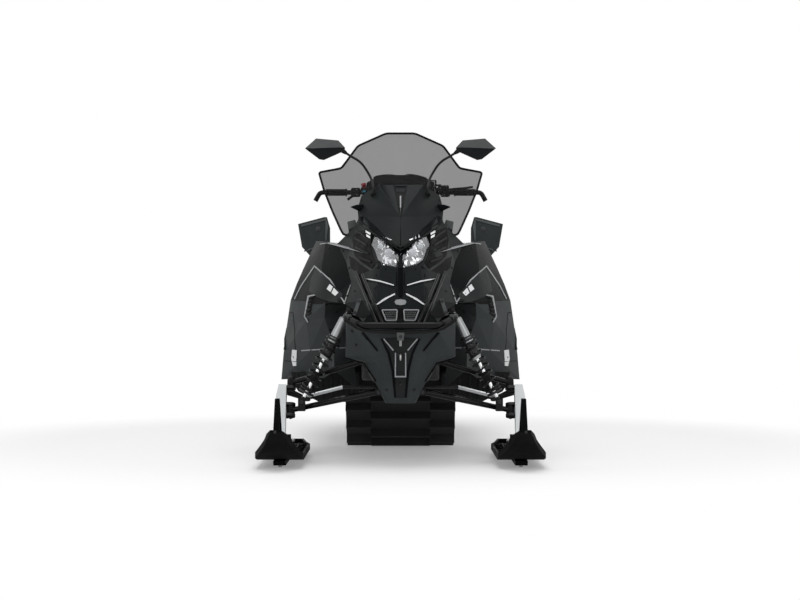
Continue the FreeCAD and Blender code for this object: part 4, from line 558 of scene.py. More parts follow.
def shells(name):
    """The corners of each separate shell of a CAD node."""
    bm = node_shells(name)
    seen = set()
    for first in bm.verts:
        if first in seen:
            continue
        seen.add(first)
        waiting, group = [first], []
        while waiting:
            corner = waiting.pop()
            group.append(corner.co.copy())
            for edge in corner.link_edges:
                other = edge.other_vert(corner)
                if other not in seen:
                    seen.add(other)
                    waiting.append(other)
        yield group
    bm.free()


RIM_GAP = 0.03


def wheel_rims(name):
    """The inner and outer face, centre and radius of every wheel rim of a node."""
    rims = []
    for corners in shells(name):
        low = Vector([min(c[i] for c in corners) for i in range(3)])
        high = Vector([max(c[i] for c in corners) for i in range(3)])
        y, z, radius = (low.y + high.y) / 2, (low.z + high.z) / 2, (high.y - low.y) / 2
        outer = sorted(c.x for c in corners if math.hypot(c.y - y, c.z - z) > radius * 0.96)
        start = outer[0]
        for a, b in zip(outer, outer[1:] + [math.inf]):
            if b - a > RIM_GAP:
                rims.append((start, a, y, z, radius))
                start = b
    return rims


def dress(name, label, width, segments=2, crease=30.0, angle=24.0):
    """A CAD node's own shape with rounded edges and its real finish."""
    piece = piece_from(node_bmesh(name), name + "_finished", label, body_of_node(name), crease)
    if width:
        soften(piece, width, segments, angle)
    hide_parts(name)
    return piece


def facing(at, way):
    """The placement that turns an upright shape along a direction."""
    return Matrix.Translation(at) @ way.to_track_quat("Z", "Y").to_matrix().to_4x4()


def cylinder(bm, start, end, radius, segments=24, end_radius=None):
    """A capped cylinder or cone between two points."""
    way = end - start
    bmesh.ops.create_cone(
        bm, cap_ends=True, cap_tris=False, segments=segments,
        radius1=radius, radius2=radius if end_radius is None else end_radius, depth=way.length,
        matrix=facing((start + end) / 2, way),
    )


def round_off(bm, edges, rounding, segments):
    """Bevels edges of a bmesh, where a rounding is asked for."""
    if rounding:
        bmesh.ops.bevel(
            bm, geom=list(edges), offset=rounding, offset_type="OFFSET", segments=segments,
            profile=0.5, affect="EDGES", clamp_overlap=True, material=-1,
        )


def block(bm, centre, size, turn=None, rounding=0.0, segments=2):
    """A box with rounded edges."""
    matrix = Matrix.Translation(centre)
    if turn is not None:
        matrix = matrix @ turn.to_matrix().to_4x4()
    matrix = matrix @ Matrix.Diagonal((*size, 1))
    verts = bmesh.ops.create_cube(bm, size=1, matrix=matrix)["verts"]
    round_off(bm, {edge for v in verts for edge in v.link_edges}, rounding, segments)


def spin(bm, geom, centre, axis, steps):
    """A full turn of edges and corners round an axis."""
    bmesh.ops.spin(
        bm, geom=geom, cent=centre, axis=axis, dvec=(0, 0, 0),
        angle=math.radians(360), steps=steps, use_merge=True, use_duplicate=False,
    )


def ring(bm, centre, way, radius, wire, segments, sides):
    """A torus, by spinning a small circle."""
    placement = facing(centre, way)
    upright = Matrix.Translation((radius, 0, 0)) @ Matrix.Rotation(math.radians(90), 4, "X")
    verts = bmesh.ops.create_circle(
        bm, cap_ends=False, segments=sides, radius=wire, matrix=placement @ upright,
    )["verts"]
    edges = list({edge for v in verts for edge in v.link_edges})
    spin(bm, verts + edges, centre, placement.to_3x3() @ Z, segments)


def lathe(bm, profile, start, way, segments=32):
    """A turned shape: profile rows are (distance along, radius)."""
    along = way.normalized()
    side = along.orthogonal().normalized()
    rows = [bm.verts.new(start + along * distance + side * radius) for distance, radius in profile]
    edges = [bm.edges.new(pair) for pair in zip(rows, rows[1:])]
    spin(bm, rows + edges, start, along, segments)


def bolt(bm, at, way, size=0.008, washer=True):
    """A hexagon head on a washer."""
    along = way.normalized()
    base = at
    if washer:
        cylinder(bm, at - along * 0.0005, at + along * size * 0.16, size * 0.95, 20)
        base = at + along * size * 0.16
    cylinder(bm, base, base + along * size * 0.55, size * 0.62, 6)
    cylinder(bm, base + along * size * 0.55, base + along * size * 0.62, size * 0.5, 12, size * 0.4)


def rivet(bm, at, way, size=0.006):
    """A low domed head."""
    along = way.normalized()
    cylinder(bm, at - along * 0.0005, at + along * size * 0.2, size, 12, size * 0.85)
    cylinder(bm, at + along * size * 0.2, at + along * size * 0.36, size * 0.85, 12, size * 0.35)


def tube_curve(name, radius, roundness, capped=True):
    """An empty curve whose lines become round tubes."""
    curve = bpy.data.curves.new(name, "CURVE")
    curve.dimensions = "3D"
    curve.bevel_depth = radius
    curve.bevel_resolution = roundness
    curve.use_fill_caps = capped
    return curve


def swept(curve):
    """The bmesh of a curve's tubes."""
    holder = linked("path", curve)
    bpy.context.view_layer.update()
    mesh = bpy.data.meshes.new_from_object(holder.evaluated_get(bpy.context.evaluated_depsgraph_get()))
    bpy.data.objects.remove(holder)
    bm = bmesh.new()
    bm.from_mesh(mesh)
    bpy.data.meshes.remove(mesh)
    return bm


def pipe(name, points, radius, label, body=CHASSIS, bend=0.03, sides=8, closed=False):
    """A round tube through points, with rounded bends."""
    curve = tube_curve(name, radius, max(1, sides // 2 - 1), not closed)
    curve.resolution_u = 6
    spline = curve.splines.new("BEZIER")
    rows = []
    count = len(points)
    for i, p in enumerate(points):
        if not closed and i in (0, count - 1):
            other = points[1] if i == 0 else points[-2]
            rows.append((p, p, p + (other - p) * 0.01))
            continue
        before, after = points[i - 1], points[(i + 1) % count]
        reach = min(bend, (before - p).length * 0.45, (after - p).length * 0.45)
        a = p + (before - p).normalized() * reach
        b = p + (after - p).normalized() * reach
        rows.append((a, a + (a - p) * 0.1, p + (a - p) * 0.45))
        rows.append((b, p + (b - p) * 0.45, b + (b - p) * 0.1))
    spline.bezier_points.add(len(rows) - 1)
    for i, (at, left, right) in enumerate(rows):
        knot = spline.bezier_points[i]
        knot.handle_left_type = knot.handle_right_type = "FREE"
        knot.co = at
        if not closed and i == len(rows) - 1:
            left, right = right, left
        knot.handle_left = left
        knot.handle_right = right
    spline.use_cyclic_u = closed
    piece_from(swept(curve), name, label, body, 50)


def both_pipes(name, points, radius, label, **settings):
    """The same tube on both sides of the machine."""
    pipe(name + "_left", points, radius, label, **settings)
    pipe(name + "_right", mirrored(points), radius, label, **settings)


def reflect(bm):
    """Adds the mirror image of a mesh across the middle of the machine."""
    verts = list(bm.verts)
    made = bmesh.ops.duplicate(bm, geom=verts + list(bm.edges) + list(bm.faces))["geom"]
    copies = [g for g in made if isinstance(g, bmesh.types.BMVert)]
    bmesh.ops.scale(bm, vec=(-1, 1, 1), verts=copies)
    faces = [g for g in made if isinstance(g, bmesh.types.BMFace)]
    bmesh.ops.reverse_faces(bm, faces=faces)


def spaced(outline, gap=3.0):
    """A closed outline with more places between its corners."""
    rows = []
    for a, b in zip(outline, outline[1:] + outline[:1]):
        count = max(1, round(math.dist(a, b) / gap))
        rows += [(a[0] + (b[0] - a[0]) * i / count, a[1] + (b[1] - a[1]) * i / count) for i in range(count)]
    return rows


def patch(bm, surface, outline, lift, wall, cells=1, station=None):
    """A thin plate that follows a surface, from an outline in the surface's own coordinates."""
    flat = bmesh.new()
    flat.faces.new([flat.verts.new((u, v, 0)) for u, v in outline])
    spans = [(min(line), max(line)) for line in zip(*outline)]
    step = max(high - low for low, high in spans) / cells
    if cells > 1:
        for way, (low, high) in zip((X, Y), spans):
            cut = low + step
            while cut < high - 0.01:
                everything = flat.verts[:] + flat.edges[:] + flat.faces[:]
                bmesh.ops.bisect_plane(flat, geom=everything, plane_co=way * cut, plane_no=way, dist=1e-5)
                cut += step
    bmesh.ops.triangulate(flat, faces=flat.faces[:])
    out = bmesh.new()
    above, below = {}, {}
    for corner in flat.verts:
        point, normal = surface.seen(corner.co.x, corner.co.y, station)
        above[corner] = out.verts.new(point + normal * (lift + wall))
        below[corner] = out.verts.new(point + normal * lift)
    for face in flat.faces:
        out.faces.new([above[v] for v in face.verts])
        out.faces.new([below[v] for v in reversed(face.verts)])
    for edge in flat.edges:
        if len(edge.link_faces) == 1:
            a, b = edge.verts
            out.faces.new([above[a], above[b], below[b], below[a]])
    flat.free()
    bmesh.ops.recalc_face_normals(out, faces=out.faces[:])
    mesh = bpy.data.meshes.new("plate")
    out.to_mesh(mesh)
    out.free()
    bm.from_mesh(mesh)
    bpy.data.meshes.remove(mesh)


def opposite(outline):
    """The outline's mirror image in the photograph."""
    return [(2 * PHOTO_CENTRE[0] - u, v) for u, v in reversed(outline)]


def patches(name, surface, outlines, label, width=0.0, **settings):
    """Plates on a surface, on both sides of the machine, as one piece."""
    with draft(name, label, crease=25, rounding=width) as bm:
        for outline in outlines:
            patch(bm, surface, outline, **settings)
            patch(bm, surface, opposite(outline), **settings)


def studs(bm, surface, places, kind, size, lift=0.0):
    """Bolts or rivets where a surface shows the places."""
    for place in places:
        at, way = surface.seen(*place)
        kind(bm, at + way * lift, way, size)


def profile_at(outline, station):
    """The points that an outline of pixels shows at one place along the machine."""
    return [at_station(u, v, station) for u, v in outline]


def slab(bm, outline, way, depth, rounding, segments=2):
    """A flat outline of points, given its depth along a direction."""
    face = bm.faces.new([bm.verts.new(p) for p in outline])
    made = bmesh.ops.extrude_face_region(bm, geom=[face])["geom"]
    lifted = [g for g in made if isinstance(g, bmesh.types.BMVert)]
    bmesh.ops.translate(bm, vec=way.normalized() * depth, verts=lifted)
    bm.faces.ensure_lookup_table()
    group = {f for v in lifted for f in v.link_faces} | {face}
    bmesh.ops.recalc_face_normals(bm, faces=list(group))
    round_off(bm, {e for f in group for e in f.edges}, rounding, segments)


# Sizes and colours

class SnowLook(PropertyGroup):
    """Colours of the bodywork."""

    gloss_colour: FloatVectorProperty(
        name="Gloss panels", description="Colour of the shoulder panels", default=(0.004, 0.0045, 0.005),
        subtype="COLOR", size=3,
    )
    hood_colour: FloatVectorProperty(
        name="Hood", description="Colour of the hood and the nose", default=(0.0105, 0.0125, 0.013),
        subtype="COLOR", size=3,
    )
    panel_colour: FloatVectorProperty(
        name="Lower panels", description="Colour of the lower side panels", default=(0.028, 0.032, 0.033),
        subtype="COLOR", size=3,
    )
    edge: FloatProperty(
        name="Panel edge", description="Rounding of the panels' edges", default=0.0025, unit="LENGTH",
    )


class SnowScreen(PropertyGroup):
    """Sizes of the windshield."""

    tint: FloatVectorProperty(
        name="Tint", description="Colour of the smoked sheet", default=(0.0135, 0.0135, 0.0135),
        subtype="COLOR", size=3,
    )
    density: FloatProperty(
        name="Density", description="How much of the background each face of the sheet hides", default=0.49,
        min=0, max=1,
    )
    edge: FloatProperty(
        name="Edge", description="Radius of the dark trim round the sheet", default=0.005, unit="LENGTH",
    )


class SnowSuspension(PropertyGroup):
    """Sizes of the front springs."""

    spring_turns: IntProperty(name="Turns", description="Open turns of a front spring", default=7, min=2)
    spring_wire: FloatProperty(
        name="Wire", description="Radius of a front spring's wire", default=0.004, unit="LENGTH",
    )


class SnowSeat(PropertyGroup):
    """How the cushions are stuffed."""

    fill: FloatProperty(name="Fill", description="From slack to tight", default=0.85, min=0, max=1)
    voxel: FloatProperty(
        name="Grid", description="Grid of the cushions' remeshing", default=0.00732, unit="LENGTH",
    )
    pressure: FloatProperty(name="Pressure", description="Pressure that swells the cushions", default=4.0)


class SnowStage(PropertyGroup):
    """Floor and light."""

    floor: FloatVectorProperty(
        name="Floor", description="Colour of the floor", default=(0.93, 0.93, 0.93), subtype="COLOR", size=3,
    )
    floor_radius: FloatProperty(
        name="Floor radius", description="Where the floor fades into the background", default=2.6,
        unit="LENGTH",
    )
    lift: FloatProperty(
        name="Shadow lift", description="How much of the floor's shadow is left out", default=0.25, min=0,
        max=1,
    )
    sky: FloatProperty(name="Sky light", description="Strength of the even light", default=0.55)
    key: FloatProperty(name="Key light", description="Power of the lamp overhead", default=90.0)


# Stage

WHITE = (1, 1, 1, 1)
FADE_START = 1.6
# Name, place, target, size and share of the key light's power
STUDIO_LAMPS = (
    ("key", (0.0, -1.2, 4.4), (0, 0, 0.4), 3.4, 1),
    ("left", (-3.6, -4.2, 2.6), (0, -0.8, 0.6), 2.0, 0.22),
    ("right", (3.6, -4.2, 2.6), (0, -0.8, 0.6), 2.0, 0.22),
    ("back", (0.0, 4.4, 3.2), (0, 0, 0.5), 2.6, 0.4),
)


class SNOW_OT_stage(Operator):
    """Floor, soft light and the photograph's camera"""

    bl_idname = "snow.stage"
    bl_label = "Stage"

    def execute(self, context):
        scene = context.scene
        stage = scene.snow_stage
        scene.view_settings.view_transform = "Standard"
        self.camera(scene)
        self.world(scene, stage)
        self.floor(stage)
        self.lamps(stage)
        return {"FINISHED"}

    def camera(self, scene):
        """The photograph's own lens and place."""
        lens = bpy.data.cameras.new("Camera")
        lens.sensor_width = 36
        lens.lens = PHOTO_FOCUS / PHOTO_WIDTH * 36
        lens.shift_x = (PHOTO_WIDTH / 2 - PHOTO_CENTRE[0]) / PHOTO_WIDTH
        lens.clip_end = 100
        camera = linked("Camera", lens)
        camera.location = EYE
        camera.rotation_euler = (math.radians(90), 0, 0)
        scene.camera = camera

    def world(self, scene, stage):
        """Even light on the machine, and a white backdrop for the camera and for reflections."""
        world = bpy.data.worlds.new("Studio")
        world.use_nodes = True
        scene.world = world
        tree = world.node_tree
        light = tree.nodes["Background"]
        feed(tree, light.inputs["Color"], WHITE)
        feed(tree, light.inputs["Strength"], stage.sky)
        backdrop = node(tree, "ShaderNodeBackground", {0: WHITE, 1: 1.0})
        rays = node(tree, "ShaderNodeLightPath").outputs
        through = calc(tree, "MAXIMUM", rays["Is Camera Ray"], rays["Is Transmission Ray"])
        shown = calc(tree, "MAXIMUM", through, rays["Is Glossy Ray"])
        self.cover(tree, shown, light, backdrop, "World Output")

    def cover(self, tree, share, under, over, output):
        """One shader shown over another by a share."""
        mix = node(tree, "ShaderNodeMixShader", {0: share, 1: under.outputs[0], 2: over.outputs[0]})
        feed(tree, tree.nodes[output].inputs["Surface"], mix.outputs[0])

    def floor(self, stage):
        """A disc that takes the shadow and fades into the white round it."""
        bm = bmesh.new()
        bmesh.ops.create_circle(bm, cap_ends=True, segments=96, radius=30)
        mesh = bpy.data.meshes.new("floor")
        bm.to_mesh(mesh)
        bm.free()
        made, tree, place = blank_material("studio floor")
        shade(tree, Base_Color=(*stage.floor, 1), Roughness=0.7, Specular_IOR_Level=0.1)
        away = node(tree, "ShaderNodeVectorMath", {0: place}, operation="LENGTH").outputs["Value"]
        fade = ranged(
            tree, away, FADE_START, stage.floor_radius, stage.lift, interpolation_type="SMOOTHSTEP",
        )
        white = node(tree, "ShaderNodeEmission", {0: WHITE, 1: 1.0})
        self.cover(tree, fade, tree.nodes["Principled BSDF"], white, "Material Output")
        mesh.materials.append(made)
        floor = linked("floor", mesh)

    def lamps(self, stage):
        """The square lamps round the machine."""
        for name, at, target, size, share in STUDIO_LAMPS:
            lamp = bpy.data.lights.new(name, "AREA")
            lamp.size = size
            lamp.energy = stage.key * share
            holder = linked(name, lamp)
            holder.location = at
            holder.rotation_euler = (Vector(target) - Vector(at)).to_track_quat("-Z", "Y").to_euler()


# Pieces

LAMP_RIM_PX = [
    (371, 232.7), (384, 240.8), (397.6, 249.2), (398.2, 263.8), (394.9, 266.8), (383.7, 263.8), (378, 260.2),
    (374, 249), (371.4, 245.4),
]
SCREEN_RIM_PX = [
    (386, 132.5), (357, 145), (340.5, 167.4), (318, 171.5), (323, 189), (331.4, 211), (340, 230),
    (342.8, 235), (349.6, 236.3),
]
MIRROR_HEAD_PX = [
    (305, 148.3), (316, 138.4), (338.3, 140.3), (345, 147.5), (344.4, 150.6), (323.7, 159.8), (319, 159),
]
MIRROR_RIDGE_PX = [(313.5, 148.4), (338.5, 147.4)]
MIRROR_STALK_PX = [(343.6, 151.4), (349.7, 155.6), (361.2, 162), (371.5, 178)]
MIRROR_STATION = -0.9
SKI_HUB = Vector((0.502, -1.228, 0.1))
KINGPIN = Vector((0.47, -1.175, 0.225))
KINGPIN_WAY = Vector((0, math.sin(math.radians(24)), math.cos(math.radians(24))))
DAMPER_TOP = Vector((0.216, -1.235, 0.658))
DAMPER_FOOT = Vector((0.420, -1.235, 0.266))
DAMPER_WAY = (DAMPER_FOOT - DAMPER_TOP).normalized()
# Share of a lamp reflector's cells painted dark as reflections, the slope below which a mirror head's facet
# is painted in shade, and where the tie rods and spindle legs change from one finish to the other
PAINTED_DARK_REFLECTION_SHARE = 0.45
SHADED_FACET = -0.05
ROD_DARK_INNER_END = 0.25
LEG_INNER_FACE = 0.4885
COIL_RADIUS = 0.031
COIL_SPAN = (0.1545, 0.391)
COIL_STEPS = 28
BAR_CENTRE = Vector((0, -0.42, 1.2))
GAUGE_STATION = -0.655
# Cushions: how far the form is drawn in, may swell again and may pass its box
PAD_DRAW_IN = 0.55
PAD_SWELL = 0.9
PAD_PAST = 0.003
CLOTH_STEPS = 20
STITCH_GAP = 0.0085


def middle_of(points):
    """The mean of some points."""
    return sum(points, Vector()) / len(points)


class SNOW_OT_windshield(Operator):
    """The smoked screen with the dark trim round its edge"""

    bl_idname = "snow.windshield"
    bl_label = "Windshield"

    def execute(self, context):
        look = context.scene.snow_screen
        dress("windshield", "smoked screen", 0, crease=60)
        sheet = Surface("windshield")
        points = []
        for u, v in SCREEN_RIM_PX:
            inward = (u + (0.9 if u < 385 else 0), v + (0.9 if v < 190 else 0))
            points.append(sheet.seen(*inward)[0] + Y * 0.002)
        rim = points[::-1] + mirrored(points)
        pipe("windshield_trim", rim, look.edge, "black recess", bend=0.012)
        station = sheet.seen(352, 230)[0].y + 0.006
        outline = [(347.2, 221.6), (355, 219.6), (358, 228), (357, 236.5), (349.4, 236.5)]
        with draft("windshield_brackets", "bracket paint", both=True) as bm:
            slab(bm, profile_at(outline, station), Y, 0.016, 0.003)
        return {"FINISHED"}


class SNOW_OT_mirrors(Operator):
    """Faceted mirror heads with their glass, stalks and boots"""

    bl_idname = "snow.mirrors"
    bl_label = "Mirrors"

    def execute(self, context):
        depth = 0.034
        front = profile_at(MIRROR_HEAD_PX, MIRROR_STATION + depth * 0.35)
        centre = middle_of(front)
        bm = bmesh.new()
        rim = [bm.verts.new(p) for p in front]
        a, b = (bm.verts.new(p) for p in profile_at(MIRROR_RIDGE_PX, MIRROR_STATION))
        bm.faces.new([rim[0], a, b, rim[3], rim[2], rim[1]])
        bm.faces.new([a, rim[0], rim[6], rim[5], rim[4], rim[3], b])
        back = [bm.verts.new(p + Y * depth * 0.65) for p in front]
        lip = [bm.verts.new(centre + (p - centre) * 0.93 + Y * depth * 0.65) for p in front]
        well = [bm.verts.new(v.co - Y * 0.004) for v in lip]
        for i in range(len(rim)):
            j = (i + 1) % len(rim)
            bm.faces.new([rim[i], rim[j], back[j], back[i]])
            bm.faces.new([back[i], back[j], lip[j], lip[i]])
            bm.faces.new([lip[i], lip[j], well[j], well[i]])
        bm.faces.new(well)
        bmesh.ops.recalc_face_normals(bm, faces=bm.faces[:])
        glass = [v.co.copy() for v in well]
        centre = middle_of(glass)
        reflect(bm)
        heads = piece_from(bm, "mirror_heads", "mirror shell", crease=20)
        # The upper facets take the lighter shell colour as a painted highlight; the facets that face down
        # take the darker hood colour as painted shade
        heads.data.materials.append(finish("hood panel"))
        for facet in heads.data.polygons:
            facet.material_index = int(facet.normal.z < SHADED_FACET)
        soften(heads, 0.003, 3, 15)
        with draft("mirror_glass", "mirror glass", both=True) as bm:
            slab(bm, [centre + (p - centre) * 0.985 + Y * 0.0005 for p in glass], Y, 0.0025, 0.001)
        feet = frame["nodes"]["mirrors"].data.vertices
        low = min(v.co.z for v in feet)
        foot = middle_of([v.co.copy() for v in feet if v.co.z < low + 0.004 and v.co.x < 0])
        stalk = profile_at(MIRROR_STALK_PX, MIRROR_STATION + 0.018)
        both_pipes("mirror_stalk", stalk + [foot + Z * 0.03, foot], 0.0055, "powder coat", bend=0.05)
        with draft("mirror_boots", "grip rubber", both=True) as bm:
            away = (stalk[-1] - foot).normalized()
            lathe(
                bm, [(0, 0.0), (0, 0.013), (0.006, 0.012), (0.012, 0.009), (0.03, 0.0072), (0.03, 0)], foot,
                away, 24,
            )
            sleeve = [
                (-0.012, 0), (-0.012, 0.008), (-0.004, 0.0105), (0.006, 0.009), (0.016, 0.0062), (0.016, 0),
            ]
            lathe(bm, sleeve, stalk[0], stalk[1] - stalk[0], 24)
        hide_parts("mirrors")
        return {"FINISHED"}


class SNOW_OT_headlamps(Operator):
    """Faceted reflectors behind clear covers, in black frames"""

    bl_idname = "snow.headlamps"
    bl_label = "Headlamps"

    def execute(self, context):
        face = Surface("headlamps")
        rims = {"left": LAMP_RIM_PX, "right": opposite(LAMP_RIM_PX)}
        seed = random.Random(7)
        facets = bmesh.new()
        for outline in rims.values():
            start = len(facets.verts)
            patch(facets, face, outline, lift=-0.022, wall=0.002, cells=11)
            facets.verts.ensure_lookup_table()
            for v in facets.verts[start:]:
                for axis, reach in ((1, 0.006), (0, 0.002), (2, 0.002)):
                    v.co[axis] += seed.uniform(-reach, reach)
        reflectors = piece_from(facets, "lamp_reflectors", "reflector", crease=5)
        # This share of the chrome reflector's cells take the dark finish, painted dark reflections
        reflectors.data.materials.append(finish("dark print"))
        for cell in reflectors.data.polygons:
            cell.material_index = int(seed.random() < PAINTED_DARK_REFLECTION_SHARE)
        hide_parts("headlamps")
        with draft("lamp_covers", "clear cover", crease=30) as covers:
            for outline in rims.values():
                patch(covers, face, outline, lift=-0.004, wall=0.003, cells=3)
        for side, outline in rims.items():
            rim = [face.seen(u, v)[0] + Y * 0.006 for u, v in outline]
            pipe("lamp_frame_" + side, rim, 0.0024, "black recess", bend=0.008, closed=True)
        with draft("lamp_projectors", "projector glass", crease=25, both=True) as bm:
            for u, v, size in ((388.5, 252.5, 0.017), (380.5, 246.5, 0.012)):
                lens = [
                    (-0.01, 0), (-0.01, size), (0.002, size), (0.004, size * 0.8), (0.006, size * 0.4),
                    (0.0065, 0),
                ]
                lathe(bm, lens, face.seen(u, v)[0] + Y * 0.004, -Y, 28)
        patches(
            "side_lights", Surface("nose", "hood", "headlamps"),
            [
                [(366.4, 230.2), (370.8, 233), (370.8, 235), (366.6, 232.6)],
                [(367, 234), (370.8, 236.4), (370.9, 238.6), (367.4, 236.6)],
            ],
            "reflector", lift=0.002, wall=0.002,
        )
        return {"FINISHED"}


class SNOW_OT_nose(Operator):
    """Vents, ribs, grille, stripes and fasteners of the nose and the hood"""

    bl_idname = "snow.nose"
    bl_label = "Nose and hood"

    def execute(self, context):
        edge = context.scene.snow_look.edge
        dress("hood", "hood panel", edge, 3, angle=8, crease=40)
        dress("nose", "hood panel", edge * 0.8, 3, angle=8, crease=40)
        cowl = Surface("nose", "hood")
        patches(
            "hood_recess", cowl, [[(393.6, 184.8), (400.5, 184.8), (400.5, 191.8), (396.4, 191.8)]],
            "black recess", lift=0.0004, wall=0.001,
        )
        patches(
            "hood_recess_bar", cowl, [[(394.6, 185.6), (400.5, 185.6), (400.5, 187.0), (395.2, 187.0)]],
            "hood panel", lift=0.001, wall=0.004, width=0.0008,
        )
        patches(
            "lamp_vents", cowl,
            [
                [
                    (358.9, 221.8), (362.5, 222.6), (379.5, 233.3), (396.9, 245.4), (396.9, 248.2),
                    (379, 236.8), (370, 231.6), (362, 226.4),
                ]
            ],
            "black recess", lift=0.0005, wall=0.001, cells=4,
        )
        patches(
            "lamp_brow", cowl,
            [
                [
                    (359.6, 217.2), (363.4, 216.8), (378.8, 229.8), (386.4, 238), (397.6, 246.4),
                    (397.6, 248.4), (379.5, 236.2), (362, 223),
                ]
            ],
            "gloss panel", lift=0.001, wall=0.003, cells=4, width=0.001,
        )
        # Near-black plates beside the lamps: the first covers the cheek's recess, the second is painted shade
        # below it
        patches(
            "cheek_recess", cowl,
            [
                [
                    (355.5, 224), (369.4, 233.6), (370.4, 246.5), (373, 255), (377, 262.4), (371, 268.5),
                    (361.5, 262), (355, 256), (352.5, 240),
                ],
                [
                    (349, 256), (354, 258.5), (361, 265), (371, 271.4), (379, 266), (386, 268.6),
                    (386, 276.5), (376, 277.5), (360, 275), (351, 268),
                ],
            ],
            "black recess", lift=0.0004, wall=0.001, cells=4,
        )
        patches(
            "cheek_ribs", cowl,
            [
                [(356.6, 229.5), (366.5, 236.2), (367, 238.4), (356.4, 232)],
                [(355.6, 237), (367.6, 244.5), (368, 246.6), (355.4, 239.6)],
                [(356.2, 246.5), (369, 253), (370, 255), (356.4, 249)],
                [(359.5, 256.5), (371.8, 261), (371.6, 263.2), (360.5, 259)],
            ],
            "grained plastic", lift=0.001, wall=0.007, cells=2, width=0.0012,
        )
        # A thin grey strip along the hood's centre crease, a painted highlight
        patches(
            "hood_crest", cowl, [[(399.8, 196), (400.5, 196), (400.5, 216.6), (400, 216.6)]], "grey print",
            lift=0.0006, wall=0.001, cells=2,
        )
        station = Surface("hood", "nose").seen(364, 207)[0].y
        with draft("hood_catches", "gloss panel", both=True) as bm:
            catch = ((350, 206.8), (356.5, 204.6), (363, 204), (364, 208.4), (358, 210.6))
            slab(bm, profile_at(catch, station), Y, 0.03, 0.004, 3)
        patches(
            "nose_spine", cowl,
            [[(399.2, 249), (400.5, 249), (400.5, 297), (398.9, 297), (398.6, 280)]],
            "gloss panel", lift=0.0005, wall=0.008, cells=5, width=0.0015,
        )
        patches(
            "fascia_panels", cowl,
            [
                [(364.6, 273.5), (376, 268.8), (396.4, 272.4), (396.6, 286), (379, 281.4), (365.5, 278)],
                [(367.4, 281.6), (379, 284.8), (396.4, 289.6), (396.4, 293), (378, 303), (372.6, 301.5)],
            ],
            "hood panel", lift=0.0005, wall=0.004, cells=4, width=0.0012,
        )
        patches(
            "nose_stripes", cowl,
            [
                [
                    (366.2, 278.9), (372.5, 279.3), (380, 280.7), (394.4, 285), (394.5, 286.1), (379.6, 282),
                    (372, 280.4),
                ],
                [(376.4, 304.6), (383, 299.4), (395.2, 293.6), (395.5, 295), (384.5, 300.6), (378.2, 304.8)],
            ],
            "white print", lift=0.0052, wall=0.0006, cells=4,
        )
        patches(
            "nose_plate", cowl,
            [[(394.8, 302), (396, 299.9), (400.5, 299.2), (400.5, 305.2), (396.4, 304.6)]], "grey print",
            lift=0.001, wall=0.004, width=0.0012,
        )
        self.grille(cowl)
        self.fasteners(cowl)
        return {"FINISHED"}

    def grille(self, cowl):
        """The opening low in the nose, its frame and its mesh."""
        patches(
            "grille_well", cowl, [[(380.4, 308.6), (400.5, 308.6), (400.5, 325), (386, 325.2)]],
            "black recess", lift=0.0004, wall=0.001, cells=2,
        )
        cell = [(382, 309.9), (397.2, 309.7), (396.5, 320.2), (386, 320.4)]
        for side, outline in {"left": cell, "right": opposite(cell)}.items():
            rim = [cowl.seen(u, v)[0] - Y * 0.006 for u, v in spaced(outline)]
            pipe("grille_frame_" + side, rim, 0.0026, "grey print", bend=0.004, closed=True)
        with draft("grille_mesh", "bracket paint") as bm:
            for row in range(7):
                v = 311 + row * 1.9
                left = 382.4 + (v - 310) * 0.36
                for column in range(9):
                    u = 383.2 + column * 1.75 + (row % 2) * 0.87
                    if left + 0.8 < u < 396.4:
                        self.mesh_hole(bm, *cowl.seen(u, v))
                        self.mesh_hole(bm, *cowl.seen(2 * PHOTO_CENTRE[0] - u, v))

    def mesh_hole(self, bm, at, way):
        """One sunk hexagon of the grille's mesh."""
        corners = bmesh.ops.create_circle(
            bm, cap_ends=True, segments=6, radius=0.0032, matrix=facing(at + way * 0.006, way),
        )["verts"]
        faces = list({f for corner in corners for f in corner.link_faces})
        bmesh.ops.inset_region(bm, faces=faces, thickness=0.0009, depth=0.0)
        sunk = list({corner for f in faces if f.is_valid for corner in f.verts})
        bmesh.ops.translate(bm, vec=-way * 0.0015, verts=sunk)

    def fasteners(self, cowl):
        """Rivets along the panels' edges."""
        places = (
            (366.4, 217), (361.2, 200), (383, 237.6), (362.6, 272), (375, 289), (392, 290.6), (356, 262),
            (354.5, 291), (364, 307), (352, 322), (368, 349), (386, 371),
        )
        with draft("nose_rivets", "grained plastic", both=True) as bm:
            studs(bm, cowl, places, rivet, 0.0055, 0.0006)


